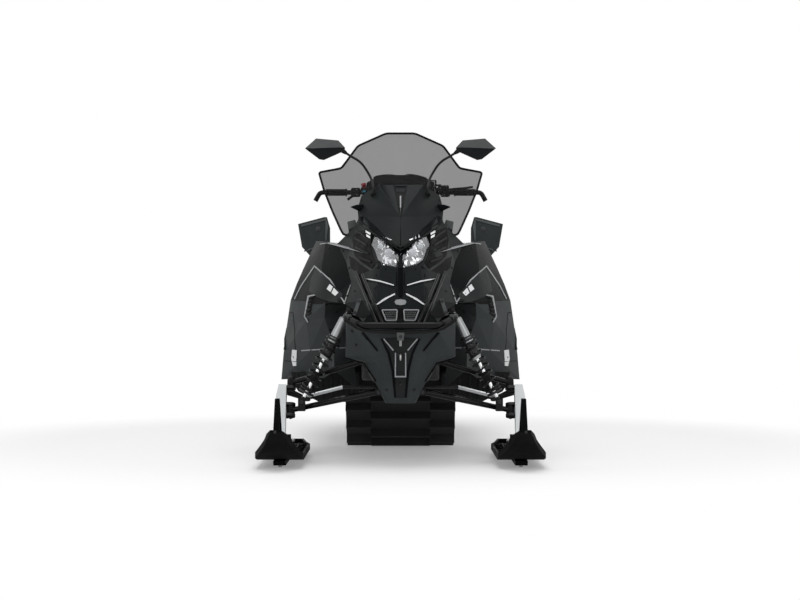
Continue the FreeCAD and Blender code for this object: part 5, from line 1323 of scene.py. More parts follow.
class SNOW_OT_side_panels(Operator):
    """Painted crease highlights, vents, stripes and fasteners of the side panels"""

    bl_idname = "snow.side_panels"
    bl_label = "Side panels"

    def execute(self, context):
        edge = context.scene.snow_look.edge
        for side in ("left", "right"):
            dress("upper_side_" + side, "gloss panel", edge, 3, angle=8, crease=40)
            dress("lower_side_" + side, "dark panel", edge, 3, angle=8, crease=40)
        sides = Surface("upper_side_left", "upper_side_right", "lower_side_left", "lower_side_right", "nose")
        # Thin grey lines along the shoulder and lower panel creases, painted highlights
        patches(
            "shoulder_creases", sides,
            [
                [(313.8, 266.4), (314.6, 265.4), (331, 279.6), (344.6, 301.6), (344, 302.8), (330, 280.6)],
                [
                    (313.8, 266.4), (314.4, 265.6), (314.9, 266.6), (301.6, 286.4), (294.8, 299.6),
                    (294.4, 298.6), (300.8, 285.6),
                ],
                [(320, 243.8), (330, 242.2), (349.6, 247.4), (349.8, 248.2), (330, 243.1), (320, 244.6)],
                [(345, 303), (344.4, 302.4), (350, 284.8), (350.8, 285.2)],
                [(301.5, 350), (325, 348.4), (348, 347), (348, 348), (325, 349.4), (301.5, 351.2)],
            ],
            "grey print", lift=0.0004, wall=0.0012, cells=6,
        )
        patches(
            "panel_stripes", sides,
            [
                [(327.4, 289.4), (330.4, 284.4), (333.6, 287.2), (331.2, 292.4)],
                [(332.2, 293.3), (334.6, 288.2), (339.2, 293.2), (335.8, 296.4)],
            ],
            "white print", lift=0.0038, wall=0.0008, cells=3,
        )
        patches(
            "shoulder_facets", sides,
            [
                [
                    (316.4, 268.4), (334.6, 286), (343.2, 294.6), (341, 303.4), (330, 302), (318, 297.4),
                    (309.5, 291.4), (311.6, 279),
                ]
            ],
            "hood panel", lift=0.0002, wall=0.003, cells=5, width=0.001,
        )
        patches(
            "panel_joints", sides, [[(311.5, 301.4), (343.6, 301.6), (343.6, 304.2), (311.5, 304)]],
            "black recess", lift=0.0006, wall=0.0012, cells=6,
        )
        patches(
            "side_vents", sides,
            [[(314.6, 295.4), (308.6, 296.6), (305, 316.6), (308.2, 321.8), (311.2, 310)]],
            "black recess", lift=0.0004, wall=0.001, cells=3,
        )
        patches(
            "side_vent_frames", sides,
            [
                [
                    (314.8, 294.6), (315.6, 295.6), (309.2, 297.6), (305.8, 316.4), (304.6, 316.9),
                    (308.2, 296),
                ],
                [(304.9, 317.4), (305.9, 316.8), (308.8, 321.4), (308.1, 322.6)],
            ],
            "grey print", lift=0.0008, wall=0.003, cells=3, width=0.0006,
        )
        patches(
            "side_vent_ribs", sides,
            [
                [
                    (306.4 + 0.9 * i, v), (311.4 + 0.3 * i, v - 1.4), (311.5 + 0.3 * i, v - 0.2),
                    (306.4 + 0.9 * i, v + 1.4),
                ]
                for i, v in enumerate(range(314, 294, -4))
            ],
            "grained plastic", lift=0.001, wall=0.006, cells=2, width=0.001,
        )
        patches(
            "fender_pads", sides,
            [[(292.4, 349.6), (297, 350.2), (296.4, 365.6), (293.2, 366), (291.6, 359)]],
            "white print", lift=0.0006, wall=0.001, cells=2,
        )
        places = ((329, 247.6), (343, 251), (349, 268), (347, 296), (326, 305), (330, 330), (337, 312))
        with draft("panel_rivets", "grained plastic", both=True) as bm:
            studs(bm, sides, places, rivet, 0.006, 0.0006)
        self.flanks()
        return {"FINISHED"}

    def flanks(self):
        """Louvres, the outline of a service cover and its fasteners, low on each side."""
        flank = Flank("upper_side_left", "lower_side_left")
        for name, label, wide, lift, wall, rounding in (
            ("flank_louvre_wells", "black recess", 0.022, 0.0004, 0.001, None),
            ("flank_louvres", "grained plastic", 0.008, 0.0008, 0.005, 0.0012),
        ):
            with draft(name, label, both=True, rounding=rounding) as bm:
                for y in (-0.69, -0.65, -0.61, -0.57, -0.53):
                    louvre = [(y, 0.47), (y + wide, 0.47), (y + 0.03 + wide, 0.57), (y + 0.03, 0.57)]
                    patch(bm, flank, louvre, lift, wall, cells=2)
        cover = [
            (-0.78, 0.42), (-0.5, 0.42), (-0.46, 0.46), (-0.46, 0.6), (-0.5, 0.64), (-0.76, 0.64),
            (-0.8, 0.56),
        ]
        both_pipes(
            "flank_groove", [flank.seen(y, z)[0] for y, z in spaced(cover, 0.03)], 0.0016, "black recess",
            bend=0.01, closed=True,
        )
        places = (
            (-0.755, 0.44), (-0.49, 0.44), (-0.49, 0.615), (-0.75, 0.615), (-0.46, 0.36), (-0.46, 0.9),
            (-0.46, 0.74),
        )
        with draft("flank_fasteners", "bracket paint", both=True) as bm:
            studs(bm, flank, places, rivet, 0.007)


class SNOW_OT_bumper(Operator):
    """The front bumper with its tubes, brackets and tow eye"""

    bl_idname = "snow.bumper"
    bl_label = "Front bumper"

    def execute(self, context):
        dress("front_bumper", "gloss tube", 0.001)
        dress("belly_pan", "dark panel", context.scene.snow_look.edge, 3, angle=8, crease=40)
        cowl = Surface("nose", "belly_pan")
        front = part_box("front_bumper")[0].y
        for name, top, foot in (
            ("outer", (357.6, 275.5), (378.6, 327.5)), ("inner", (363, 274.5), (384.4, 327.5)),
        ):
            start = cowl.seen(*top)[0].y - 0.004
            points = []
            for i in range(6):
                share = i / 5
                u, v = (a + (b - a) * share for a, b in zip(top, foot))
                y = start + (front + 0.012 - start) * share
                points.append(at_station(u, v, min(y, cowl.seen(u, v)[0].y - 0.004)))
            both_pipes("bumper_tube_" + name, points, 0.009, "gloss tube", bend=0.03)
        lower = profile_at(((344.6, 319.4), (360, 329.6), (372, 331.4), (400.5, 332.8)), front + 0.012)
        pipe("bumper_lower_tube", lower + mirrored(lower[-2::-1]), 0.0072, "gloss tube", bend=0.03)
        with draft("bumper_brackets", "bracket paint") as bm:
            strut = ((357.8, 298.8), (361.5, 298.8), (355.6, 315.6), (352.6, 314.8))
            slab(bm, profile_at(strut, front + 0.03), Y, 0.004, 0.0008)
            foot_plate = ((343, 314), (351.4, 314.4), (351.8, 322.6), (343.6, 321.4))
            slab(bm, profile_at(foot_plate, front + 0.075), Y, 0.006, 0.001)
            reflect(bm)
            tongue = ((396.6, 332.6), (404.4, 332.6), (403.6, 340.6), (397.4, 340.6))
            slab(bm, profile_at(tongue, front + 0.001), Y, 0.006, 0.0012)
        gusset = ((361.5, 299), (371, 314), (364, 318.6), (356, 316.6))
        with draft("bumper_gussets", "powder coat", both=True) as bm:
            slab(bm, profile_at(gusset, front + 0.034), Y, 0.004, 0.0008)
        with draft("bumper_bolts", "black zinc") as bm:
            for u, v, back in (
                (345.4, 317.8, 0.075), (349.4, 318.8, 0.075), (359, 301.2, 0.03), (355, 312.8, 0.03),
            ):
                bolt(bm, at_station(u, v, front + back), -Y, 0.0075)
            reflect(bm)
            bolt(bm, at_station(400.5, 336.8, front + 0.001), -Y, 0.007)
        patches(
            "pan_channel", cowl,
            [[(382.4, 339), (400.5, 337.6), (400.5, 398), (394.6, 397), (392.4, 371), (388, 352)]],
            "grained plastic", lift=0.0004, wall=0.003, cells=5, width=0.001,
        )
        patches(
            "pan_edges", cowl,
            [
                [
                    (380.6, 338.6), (382.4, 339), (389.6, 352.4), (394.4, 371), (396.4, 397), (394.4, 397),
                    (392, 371.4), (387.6, 353.4),
                ],
                [(361.8, 332.4), (363.4, 332), (378, 350), (377.4, 351.6)],
                [(347, 357.4), (364.6, 363), (376.4, 381), (375, 382), (363.4, 364.8), (347.6, 359.6)],
            ],
            "gloss panel", lift=0.0006, wall=0.005, cells=4, width=0.001,
        )
        # Thin grey strips on the belly pan, painted highlights
        patches(
            "tow_plate", cowl,
            [
                [(395, 352.5), (396.2, 352.5), (396.2, 375.4), (400.5, 375.4), (400.5, 376.8), (395, 376.8)],
                [(383.2, 338.9), (384.2, 338.2), (394, 349.8), (393, 350.6)],
                [(396.8, 333), (400.5, 333), (400.5, 346), (399.4, 346), (399.2, 335), (396.8, 335)],
            ],
            "grey print", lift=0.0034, wall=0.003, cells=3, width=0.0006,
        )
        with draft("pan_bolts", "black zinc") as bm:
            for u, v in ((400.5, 359.4), (400.5, 383.6), (369, 371), (356, 345), (386.5, 390), (352, 331)):
                at, way = cowl.seen(u, v)
                bolt(bm, at + way * 0.003, way, 0.006)
                if u < 400:
                    at, way = mirrored((at, way))
                    bolt(bm, at + way * 0.003, way, 0.006)
        at, _ = cowl.seen(400.5, 356)
        with draft("tow_eye", "zinc", crease=60) as bm:
            ring(bm, at - Y * 0.012 - Z * 0.004, X, 0.011, 0.004, 28, 10)
        return {"FINISHED"}


class SNOW_OT_front_suspension(Operator):
    """Arms, dampers, coil springs, spindles and steering rods"""

    bl_idname = "snow.front_suspension"
    bl_label = "Front suspension"

    def execute(self, context):
        look = context.scene.snow_suspension
        for name in ("upper_arms", "lower_arms"):
            dress(name, "gloss tube", 0.0008)
        rods = dress("tie_rods", "bare alloy", 0.0008)
        rods.data.materials.append(finish("black zinc"))
        for cell in rods.data.polygons:
            cell.material_index = int(abs(cell.center.x) < ROD_DARK_INNER_END)
        self.dampers(look)
        self.spindles()
        self.joints()
        self.splash_plates()
        return {"FINISHED"}

    def splash_plates(self):
        """Ribbed plates that close the footwells towards the front."""
        def place(x, z, out=0.0):
            """A point on the plate's slanted plane, or before it."""
            return Vector((x, -0.74 - (z - 0.262) * 0.5 - out, z))

        plate = ((0.185, 0.235), (0.37, 0.238), (0.46, 0.285), (0.49, 0.335), (0.49, 0.375), (0.185, 0.375))
        with draft("splash_plates", "grained plastic", both=True) as bm:
            slab(bm, [place(x, z) for x, z in plate], Y, 0.006, 0.0015)
            for i in range(5):
                x = 0.215 + i * 0.045
                rib = ((x, 0.25), (x + 0.014, 0.25), (x + 0.014, 0.364), (x, 0.364))
                slab(bm, [place(a, z, 0.011) for a, z in rib], Y, 0.012, 0.004, 3)
        with draft("splash_plate_bolts", "black zinc", both=True) as bm:
            for x, z in ((0.2, 0.277), (0.2, 0.36), (0.44, 0.305), (0.465, 0.36)):
                bolt(bm, place(x, z), Vector((0, -0.9, -0.45)), 0.007)

    def dampers(self, look):
        """Bodies, shafts, collars, stops, eyes and bolts of both dampers, then their springs."""
        top, foot, way = DAMPER_TOP, DAMPER_FOOT, DAMPER_WAY
        body = bmesh.new()
        lathe(
            body,
            [
                (0.030, 0.0), (0.030, 0.011), (0.040, 0.013), (0.046, 0.0205), (0.052, 0.022),
                (0.150, 0.022), (0.152, 0.0235), (0.158, 0.0235), (0.160, 0.022), (0.226, 0.022),
                (0.232, 0.0195), (0.238, 0.0195), (0.238, 0.0),
            ],
            top, way, 40,
        )
        reflect(body)
        cans = piece_from(body, "damper_bodies", "damper body", crease=28)
        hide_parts("front_dampers")
        with draft("damper_shafts", "chrome", both=True) as shaft:
            cylinder(shaft, top + way * 0.236, foot - way * 0.012, 0.0078, 24)
        with draft("damper_collars", "black zinc", crease=28, both=True) as rings:
            for start, size, deep in ((0.142, 0.035, 0.008), (0.132, 0.029, 0.007)):
                end = start + deep
                profile = [
                    (start, 0.0225), (start, size - 0.002), (start + 0.0012, size),
                    (end - 0.0012, size), (end, size - 0.002), (end, 0.0225),
                ]
                lathe(rings, profile, top, way, 36)
            lathe(
                rings,
                [
                    (0.395, 0.0082), (0.395, 0.033), (0.397, 0.035), (0.402, 0.035), (0.4035, 0.03),
                    (0.4035, 0.0082),
                ],
                top, way, 36,
            )
            for i in range(24):
                at = top + way * i * 0.0026
                lathe(
                    rings, [(0.162, 0.0221), (0.1625, 0.0229), (0.164, 0.0229), (0.1645, 0.0221)], at, way,
                    28,
                )
        with draft("damper_bump_stops", "grip rubber", both=True) as stops:
            lathe(
                stops,
                [
                    (0.30, 0.0079), (0.30, 0.014), (0.306, 0.018), (0.316, 0.0165), (0.324, 0.0185),
                    (0.334, 0.016), (0.345, 0.012), (0.345, 0.0079),
                ],
                top, way, 32,
            )
        with draft("damper_eyes", "black zinc", both=True, rounding=0.001) as eyes:
            for at in (top, foot):
                cylinder(eyes, at - Y * 0.013, at + Y * 0.013, 0.0138, 32)
            cylinder(eyes, foot, foot - way * 0.022, 0.010, 20)
            cylinder(eyes, top, top + way * 0.034, 0.011, 20)
        with draft("damper_bolts", "black zinc", both=True) as bolts:
            for at in (top, foot):
                bolt(bolts, at - Y * 0.0225, -Y, 0.010)
                bolt(bolts, at + Y * 0.0225, Y, 0.010)
        self.springs(look)

    def springs(self, look):
        """Coils with closed ends, as one swept wire."""
        side = DAMPER_WAY.orthogonal().normalized()
        other = DAMPER_WAY.cross(side)
        turns, wire = look.spring_turns, look.spring_wire
        rise = COIL_SPAN[1] - COIL_SPAN[0] - 2 * wire
        count = int((turns + 2) * COIL_STEPS)
        rail = tube_curve("spring_path", wire, 3)
        spline = rail.splines.new("POLY")
        spline.points.add(count)
        for i in range(count + 1):
            turn = i / COIL_STEPS
            if turn < 1:
                along = turn * wire
            elif turn > turns + 1:
                along = rise - (turns + 2 - turn) * wire
            else:
                along = wire + (rise - 2 * wire) * (turn - 1) / turns
            angle = 2 * math.pi * turn
            out = (side * math.cos(angle) + other * math.sin(angle)) * COIL_RADIUS
            at = DAMPER_TOP + DAMPER_WAY * (COIL_SPAN[0] + wire + along) + out
            spline.points[i].co = (*at, 1)
        bm = swept(rail)
        reflect(bm)
        coils = piece_from(bm, "spring_coils", "spring paint", crease=60)
        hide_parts("front_springs")

    def spindles(self):
        """Cast legs with dark inner faces, and the bolts of their hubs and kingpins."""
        for side, sign in (("left", 1), ("right", -1)):
            name = "spindle_" + side
            leg = dress(name, "cast alloy", 0.003, 3)
            leg.data.materials.append(finish("black zinc"))
            for cell in leg.data.polygons:
                cell.material_index = int(abs(cell.center.x) < LEG_INNER_FACE)
            hub, pin = (Vector((sign * p.x, p.y, p.z)) for p in (SKI_HUB, KINGPIN))
            with draft(name + "_hub_bolts", "zinc", "ski_" + side + "_assembly") as bm:
                for way in (-1, 1):
                    bolt(bm, hub + X * way * 0.041, X * way, 0.012)
            with draft(name + "_pin_nuts", "black zinc", "spindle_" + side + "_assembly") as bm:
                for level, way in ((-0.0305, -1), (0.1535, 1)):
                    bolt(bm, pin + KINGPIN_WAY * level, KINGPIN_WAY * way, 0.011)

    def joints(self):
        """Boots of the ball joints and bolts of the arms' inner ends."""
        boot = [
            (-0.0176, 0.0), (-0.0176, 0.0135), (-0.013, 0.0182), (0.013, 0.0182), (0.0176, 0.0135),
            (0.0176, 0),
        ]
        with draft("ball_joint_boots", "grip rubber", crease=50, both=True) as boots:
            for level in (0, 0.126):
                lathe(boots, boot, KINGPIN + KINGPIN_WAY * level, KINGPIN_WAY, 28)
        with draft("arm_bolts", "black zinc", both=True) as bolts:
            for x, z in ((0.165, 0.436), (0.092, 0.308)):
                for y, way in ((-1.3005, -1), (-1.0815, 1)):
                    bolt(bolts, Vector((x, y, z)), Y * way, 0.010)


class SNOW_OT_skis(Operator):
    """Ski plates with their ribs, runners, bolts and rubber dampers"""

    bl_idname = "snow.skis"
    bl_label = "Skis"

    def execute(self, context):
        for side, sign in (("left", 1), ("right", -1)):
            body = f"ski_{side}_assembly"
            dress("ski_" + side, "ski plastic", 0.0028, 3)
            dress("ski_runner_" + side, "runner steel", 0.002)
            x = sign * SKI_HUB.x
            with draft(f"ski_{side}_ribs", "ski plastic", body) as bm:
                for i in range(7):
                    y = -1.38 + i * 0.105
                    if abs(y - SKI_HUB.y) > 0.11:
                        for dx in (-0.055, 0.055):
                            block(bm, Vector((x + dx, y, 0.0435)), (0.05, 0.012, 0.007), rounding=0.002)
                for dx in (-0.046, 0.046):
                    block(bm, Vector((x + dx, -1.06, 0.046)), (0.008, 0.62, 0.012), rounding=0.002)
            with draft(f"ski_{side}_bolts", "black zinc", body) as bm:
                for y in (-1.415, -0.76, -0.70):
                    for dx in (-0.02, 0.02):
                        bolt(bm, Vector((x + dx, y, 0.041)), Z, 0.007)
                at, way = Surface("ski_" + side).seen(PHOTO_CENTRE[0] + sign * 125.6, 432)
                bolt(bm, at, way, 0.007)
            with draft(f"ski_{side}_damper", "grip rubber", body) as bm:
                for y in (-1.25, -1.205):
                    for dx in (-0.0238, 0.0238):
                        block(bm, Vector((x + dx, y, 0.052)), (0.012, 0.05, 0.02), rounding=0.004)
        return {"FINISHED"}


class SNOW_OT_cockpit(Operator):
    """Handlebar, grips, switches, levers, display and instrument pod"""

    bl_idname = "snow.cockpit"
    bl_label = "Handlebar and instruments"

    def execute(self, context):
        for name, rounding in (("handlebar", 0), ("steering_post", 0.003), ("steering_braces", 0.001)):
            dress(name, "powder coat", rounding)
        dress("dash", "grained plastic", 0.006, 3)
        self.grips()
        self.controls()
        self.dash()
        return {"FINISHED"}

    def grips(self):
        """Ringed rubber sleeves on both ends of the bar."""
        bm = bmesh.new()
        rows = [(0, 0.0112), (0, 0.0165), (0.003, 0.0185), (0.006, 0.0185), (0.008, 0.0152)]
        for i in range(17):
            along = 0.012 + i * 0.005
            rows += [
                (along, 0.0150), (along + 0.001, 0.0160), (along + 0.0035, 0.0160), (along + 0.0045, 0.0150),
            ]
        rows += [(0.098, 0.0158), (0.1, 0.0145), (0.1, 0.0112)]
        lathe(bm, rows, BAR_CENTRE + X * 0.25, X, 32)
        reflect(bm)
        made = piece_from(bm, "grip_sleeves", "grip rubber", BAR, 40)
        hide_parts("grips")

    def controls(self):
        """Housings, levers, reservoir, switches and display of the bar."""
        y = BAR_CENTRE.y
        housing = bmesh.new()
        for at, size, rounding in (
            ((-0.209, -0.002, 1.2), (0.044, 0.05, 0.042), 0.008),
            ((0.209, -0.002, 1.2), (0.044, 0.05, 0.042), 0.008),
            ((-0.168, -0.004, 1.208), (0.036, 0.036, 0.03), 0.006),
            ((0.166, -0.004, 1.205), (0.034, 0.034, 0.034), 0.006),
        ):
            block(housing, Vector(at) + Y * y, size, rounding=rounding, segments=3)
        made = piece_from(housing, "control_housings", "grained plastic", BAR)
        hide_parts("controls")
        brake = ((0.205, -0.03, 1.206), (0.235, -0.06, 1.212), (0.30, -0.068, 1.216), (0.335, -0.06, 1.222))
        pipe("brake_lever", [Vector(p) + Y * y for p in brake], 0.0055, "black zinc", BAR, bend=0.02)
        throttle = ((-0.215, -0.018, 1.188), (-0.232, -0.03, 1.176), (-0.245, -0.02, 1.166))
        pipe(
            "throttle_lever", [Vector(p) + Y * y for p in throttle], 0.006, "grained plastic", BAR, bend=0.01,
        )
        with draft("brake_reservoir", "grained plastic", BAR) as tank:
            block(tank, Vector((0.2, y - 0.026, 1.216)), (0.052, 0.03, 0.03), rounding=0.006, segments=3)
            cylinder(tank, Vector((0.178, y - 0.026, 1.2285)), Vector((0.178, y - 0.026, 1.236)), 0.012, 28)
        with draft("control_screws", "zinc", BAR) as caps:
            for x in (0.205, 0.22):
                cylinder(caps, Vector((x, y - 0.026, 1.2315)), Vector((x, y - 0.026, 1.233)), 0.003, 12)
            for sign in (-1, 1):
                for dz in (-0.0117, 0.0117):
                    bolt(caps, Vector((sign * 0.203, y - 0.0265, 1.2 + dz)), -Y, 0.005, False)
        with draft("stop_switch", "red switch", BAR, crease=30) as red:
            cylinder(red, Vector((-0.170, y - 0.014, 1.222)), Vector((-0.172, y - 0.02, 1.236)), 0.0105, 28)
            cylinder(
                red, Vector((-0.172, y - 0.02, 1.236)), Vector((-0.1725, y - 0.0212, 1.2385)), 0.0125, 28,
            )
        for name, label, at, size, rounding, segments in (
            ("heater_switch", "blue switch", (-0.168, -0.0235, 1.205), (0.018, 0.006, 0.012), 0.002, 2),
            ("lamp_switch", "white print", (0.152, -0.022, 1.212), (0.02, 0.006, 0.012), 0.002, 2),
            ("display_case", "grained plastic", (0.137, -0.02, 1.236), (0.062, 0.022, 0.042), 0.005, 3),
            ("display_cover", "pale display", (0.137, -0.0316, 1.238), (0.048, 0.0018, 0.027), 0.0006, 2),
        ):
            with draft(name, label, BAR) as bm:
                block(bm, Vector(at) + Y * y, size, rounding=rounding, segments=segments)
        with draft("clamp_bolts", "zinc", BAR) as clamp:
            for x in (-0.034, 0.034):
                for dy in (-0.014, 0.014):
                    bolt(clamp, Vector((x, y + dy, 1.222)), Z, 0.007)
        with draft("bar_pad", "grip rubber", BAR) as pad:
            block(pad, Vector((0, y, 1.231)), (0.15, 0.05, 0.016), rounding=0.007, segments=4)

    def dash(self):
        """Two round gauges with their bezels, glass and marks."""
        top = Surface("dash")
        with draft("gauge_bezels", "gloss panel", crease=30) as bm:
            spots = []
            for x in (-0.072, 0.072):
                at, way = top.hit(Vector((x, GAUGE_STATION, 1.6)), -Z)
                spots.append((at, way))
                lathe(
                    bm,
                    [
                        (-0.003, 0.0), (-0.003, 0.052), (0.006, 0.052), (0.009, 0.049), (0.009, 0.044),
                        (0.004, 0.043), (0.004, 0),
                    ],
                    at, way, 48,
                )
        with draft("gauge_glass", "display glass") as bm:
            for at, way in spots:
                cylinder(bm, at + way * 0.004, at + way * 0.0052, 0.0428, 40)
        with draft("gauge_marks", "white print") as bm:
            for at, way in spots:
                side = way.cross(X).normalized()
                across = side.cross(way).normalized()
                marks = [(-120 + i * 24, 0.036, 0.0054, (0.0016, 0.007, 0.0006)) for i in range(11)]
                needle = (-70, 0.014, 0.0056, (0.0016, 0.034, 0.0008))
                for degrees, radius, lift, size in (*marks, needle):
                    angle = math.radians(degrees)
                    spot = at + way * lift + (across * math.sin(angle) + side * -math.cos(angle)) * radius
                    turn = Matrix((across, side, way)).transposed() @ Matrix.Rotation(-angle, 3, "Z")
                    block(bm, spot, size, turn.to_quaternion())


class SNOW_OT_seat(Operator):
    """Padded seat and backrest with piping, seams and stitches"""

    bl_idname = "snow.seat"
    bl_label = "Seat and backrest"

    def execute(self, context):
        look = context.scene.snow_seat
        seat = self.cushion("seat", look, 0.026)
        self.paint(seat)
        rest = self.cushion("backrest", look, 0.018)
        self.seams(seat)
        self.rest_seams(rest)
        self.saddle_seal()
        dress("backrest_frame", "powder coat", 0.001)
        dress("passenger_guards", "dark panel", 0.004, 3)
        guards = Surface("passenger_guards")
        with draft("guard_bolts", "dark print", both=True) as bm:
            at, way = guards.seen(318, 229)
            lathe(
                bm, [(-0.001, 0), (-0.001, 0.012), (0.002, 0.012), (0.003, 0.010), (0.003, 0.0)], at, way, 28,
            )
            bolt(bm, at + way * 0.003, way, 0.007)
        # Lighter strips along the top, side and foot of the guards' real rim lip, a painted highlight on it
        patches(
            "guard_rims", guards,
            [
                [(301, 224.8), (326, 218.4), (326.8, 220), (301.4, 226.8)],
                [(325.4, 220.6), (327, 220.4), (328.2, 226.6), (326.4, 241), (325.2, 241)],
                [(303.8, 250.6), (322, 244.8), (322, 245.8), (304.4, 251.8)],
            ],
            "bracket paint", lift=0.0004, wall=0.003, cells=3, width=0.0008, station=0.32,
        )
        return {"FINISHED"}

    def saddle_seal(self):
        """Rubber fillet that closes the joint between the console and the seat."""
        rear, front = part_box("console")[1].y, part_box("seat")[0].y
        sides = (("console", rear - 0.012), ("seat", front + 0.03))
        top = min(Surface(name).hit(Vector((0, y, 2)), -Z)[0].z for name, y in sides) - 0.022
        wide = min(Surface(name).hit(Vector((2, y, 0.66)), -X)[0].x for name, y in sides) - 0.016
        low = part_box("tunnel")[1].z + 0.001
        outline = [
            (-wide, low), (wide, low), (wide, top - 0.05), (wide - 0.05, top), (0.05 - wide, top),
            (-wide, top - 0.05),
        ]
        with draft("saddle_seal", "grip rubber") as bm:
            slab(bm, [Vector((x, rear - 0.01, z)) for x, z in outline], Y, front - rear + 0.04, 0.002)

    def cushion(self, name, look, inset):
        """The node's form, drawn in, remeshed, blown up by a short cloth run and smoothed."""
        bm = node_bmesh(name)
        low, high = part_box(name)
        middle = (low + high) / 2
        half = (high - low) / 2
        for v in bm.verts:
            for axis in range(3):
                share = (half[axis] - inset * PAD_DRAW_IN) / half[axis]
                v.co[axis] = middle[axis] + (v.co[axis] - middle[axis]) * share
        made = bpy.data.meshes.new(name + "_pad")
        bmesh.ops.triangulate(bm, faces=bm.faces[:])
        bm.to_mesh(made)
        bm.free()
        pad = linked(name + "_pad", made)
        bpy.context.view_layer.objects.active = pad
        rounding = pad.modifiers.new("Rounding", "BEVEL")
        rounding.width = 0.018
        rounding.segments = 3
        rounding.limit_method = "ANGLE"
        rounding.angle_limit = math.radians(12)
        grid = pad.modifiers.new("Grid", "REMESH")
        grid.mode = "VOXEL"
        grid.voxel_size = look.voxel
        self.apply(pad)
        rest = [v.co.copy() for v in pad.data.vertices]
        cloth = pad.modifiers.new("Cloth", "CLOTH")
        settings = cloth.settings
        settings.quality = 6
        settings.mass = 0.2
        settings.tension_stiffness = 12
        settings.compression_stiffness = 12
        settings.bending_stiffness = 1.2
        settings.use_pressure = True
        settings.uniform_pressure_force = look.pressure
        settings.effector_weights.gravity = 0
        cloth.collision_settings.use_collision = False
        cloth.point_cache.frame_end = CLOTH_STEPS
        scene = bpy.context.scene
        for step in range(1, CLOTH_STEPS + 1):
            scene.frame_set(step)
        self.apply(pad)
        scene.frame_set(1)
        limit = inset * PAD_SWELL
        for v, start in zip(pad.data.vertices, rest):
            move = v.co - start
            if move.length > limit:
                move *= limit / move.length
            v.co = start + move
            for axis in range(3):
                floor = low[axis] - (PAD_PAST if axis < 2 else 0)
                v.co[axis] = min(high[axis] + PAD_PAST, max(floor, v.co[axis]))
        smooth = pad.modifiers.new("Smooth", "SMOOTH")
        smooth.factor = 0.5
        smooth.iterations = 6
        self.apply(pad)
        for face in pad.data.polygons:
            face.use_smooth = True
        fine = pad.modifiers.new("Fine", "SUBSURF")
        fine.levels = fine.render_levels = 1
        pad.data.materials.append(finish("seat vinyl"))
        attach(pad, body_of_node(name))
        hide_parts(name)
        return pad

    def apply(self, pad):
        """Puts the modifiers' result in the place of the pad's mesh."""
        graph = bpy.context.evaluated_depsgraph_get()
        graph.update()
        mesh = bpy.data.meshes.new_from_object(pad.evaluated_get(graph))
        old = pad.data
        pad.modifiers.clear()
        pad.data = mesh
        bpy.data.meshes.remove(old)

    def paint(self, seat):
        """Plain vinyl on the sides below the piping."""
        seat.data.materials.append(finish("side vinyl"))
        for face in seat.data.polygons:
            if abs(face.normal.x) > 0.75 and abs(face.center.x) > 0.10:
                face.material_index = 1

    def around(self, pad, low_y, high_y, share, lift=0.0):
        """Points along the upper edge of both flanks, found by rays from the side."""
        graph = bpy.context.evaluated_depsgraph_get()
        tree = BVHTree.FromObject(pad, graph)
        points = []
        count = 26
        for i in range(count + 1):
            y = low_y + (high_y - low_y) * i / count
            top = tree.ray_cast(Vector((0, y, 2)), -Z)[0]
            if top is None:
                continue
            hit = tree.ray_cast(Vector((1, y, top.z - share)), -X)[0]
            if hit is not None:
                points.append(hit + X * lift)
        return points

    def seams(self, seat):
        """Piping and stitches along both flanks, and seams across the top."""
        low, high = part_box("seat")
        piping = self.around(seat, low.y + 0.03, high.y - 0.035, 0.034, -0.0008)
        both_pipes("seat_piping", piping, 0.0032, "dark print", bend=0.02)
        line = self.around(seat, low.y + 0.03, high.y - 0.035, 0.046, 0.0002)
        self.stitches("seat_stitches", line, both=True)
        graph = bpy.context.evaluated_depsgraph_get()
        tree = BVHTree.FromObject(seat, graph)
        for number, y in enumerate((-0.02, 0.20, 0.42, 0.56), 1):
            points = []
            for i in range(17):
                x = -0.15 + 0.3 * i / 16
                hit = tree.ray_cast(Vector((x, y + 0.02 * math.cos(x * 9), 2)), -Z)[0]
                if hit is not None:
                    points.append(hit - Z * 0.0006)
            pipe(f"seat_seam_{number}", points, 0.0022, "black recess", bend=0.01, sides=6)
            beside = [p + Y * 0.007 + Z * 0.0006 for p in points]
            self.stitches(f"seat_seam_stitches_{number}", beside, both=False)

    def rest_seams(self, rest):
        """Two seams across the backrest's front."""
        graph = bpy.context.evaluated_depsgraph_get()
        tree = BVHTree.FromObject(rest, graph)
        low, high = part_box("backrest")
        for name, share in (("low", 0.28), ("high", 0.74)):
            z = low.z + (high.z - low.z) * share
            points = []
            for i in range(21):
                x = (low.x + 0.03) + (high.x - low.x - 0.06) * i / 20
                hit = tree.ray_cast(Vector((x, 0.5, z)), Y)[0]
                if hit is not None:
                    points.append(hit + Y * 0.0006)
            pipe("backrest_seam_" + name, points, 0.0022, "black recess", bend=0.01, sides=6)
            self.stitches(
                "backrest_stitches_" + name, [p + Z * 0.008 - Y * 0.0006 for p in points], both=False,
            )

    def stitches(self, name, points, both):
        """Short threads along a line."""
        with draft(name, "stitching", crease=60) as bm:
            travelled = 0.0
            for a, b in zip(points, points[1:]):
                length = (b - a).length
                way = (b - a).normalized()
                while travelled < length:
                    at = a + way * travelled
                    cylinder(bm, at - way * 0.0026, at + way * 0.0026, 0.0008, 5)
                    travelled += STITCH_GAP
                travelled -= length
            if both:
                reflect(bm)


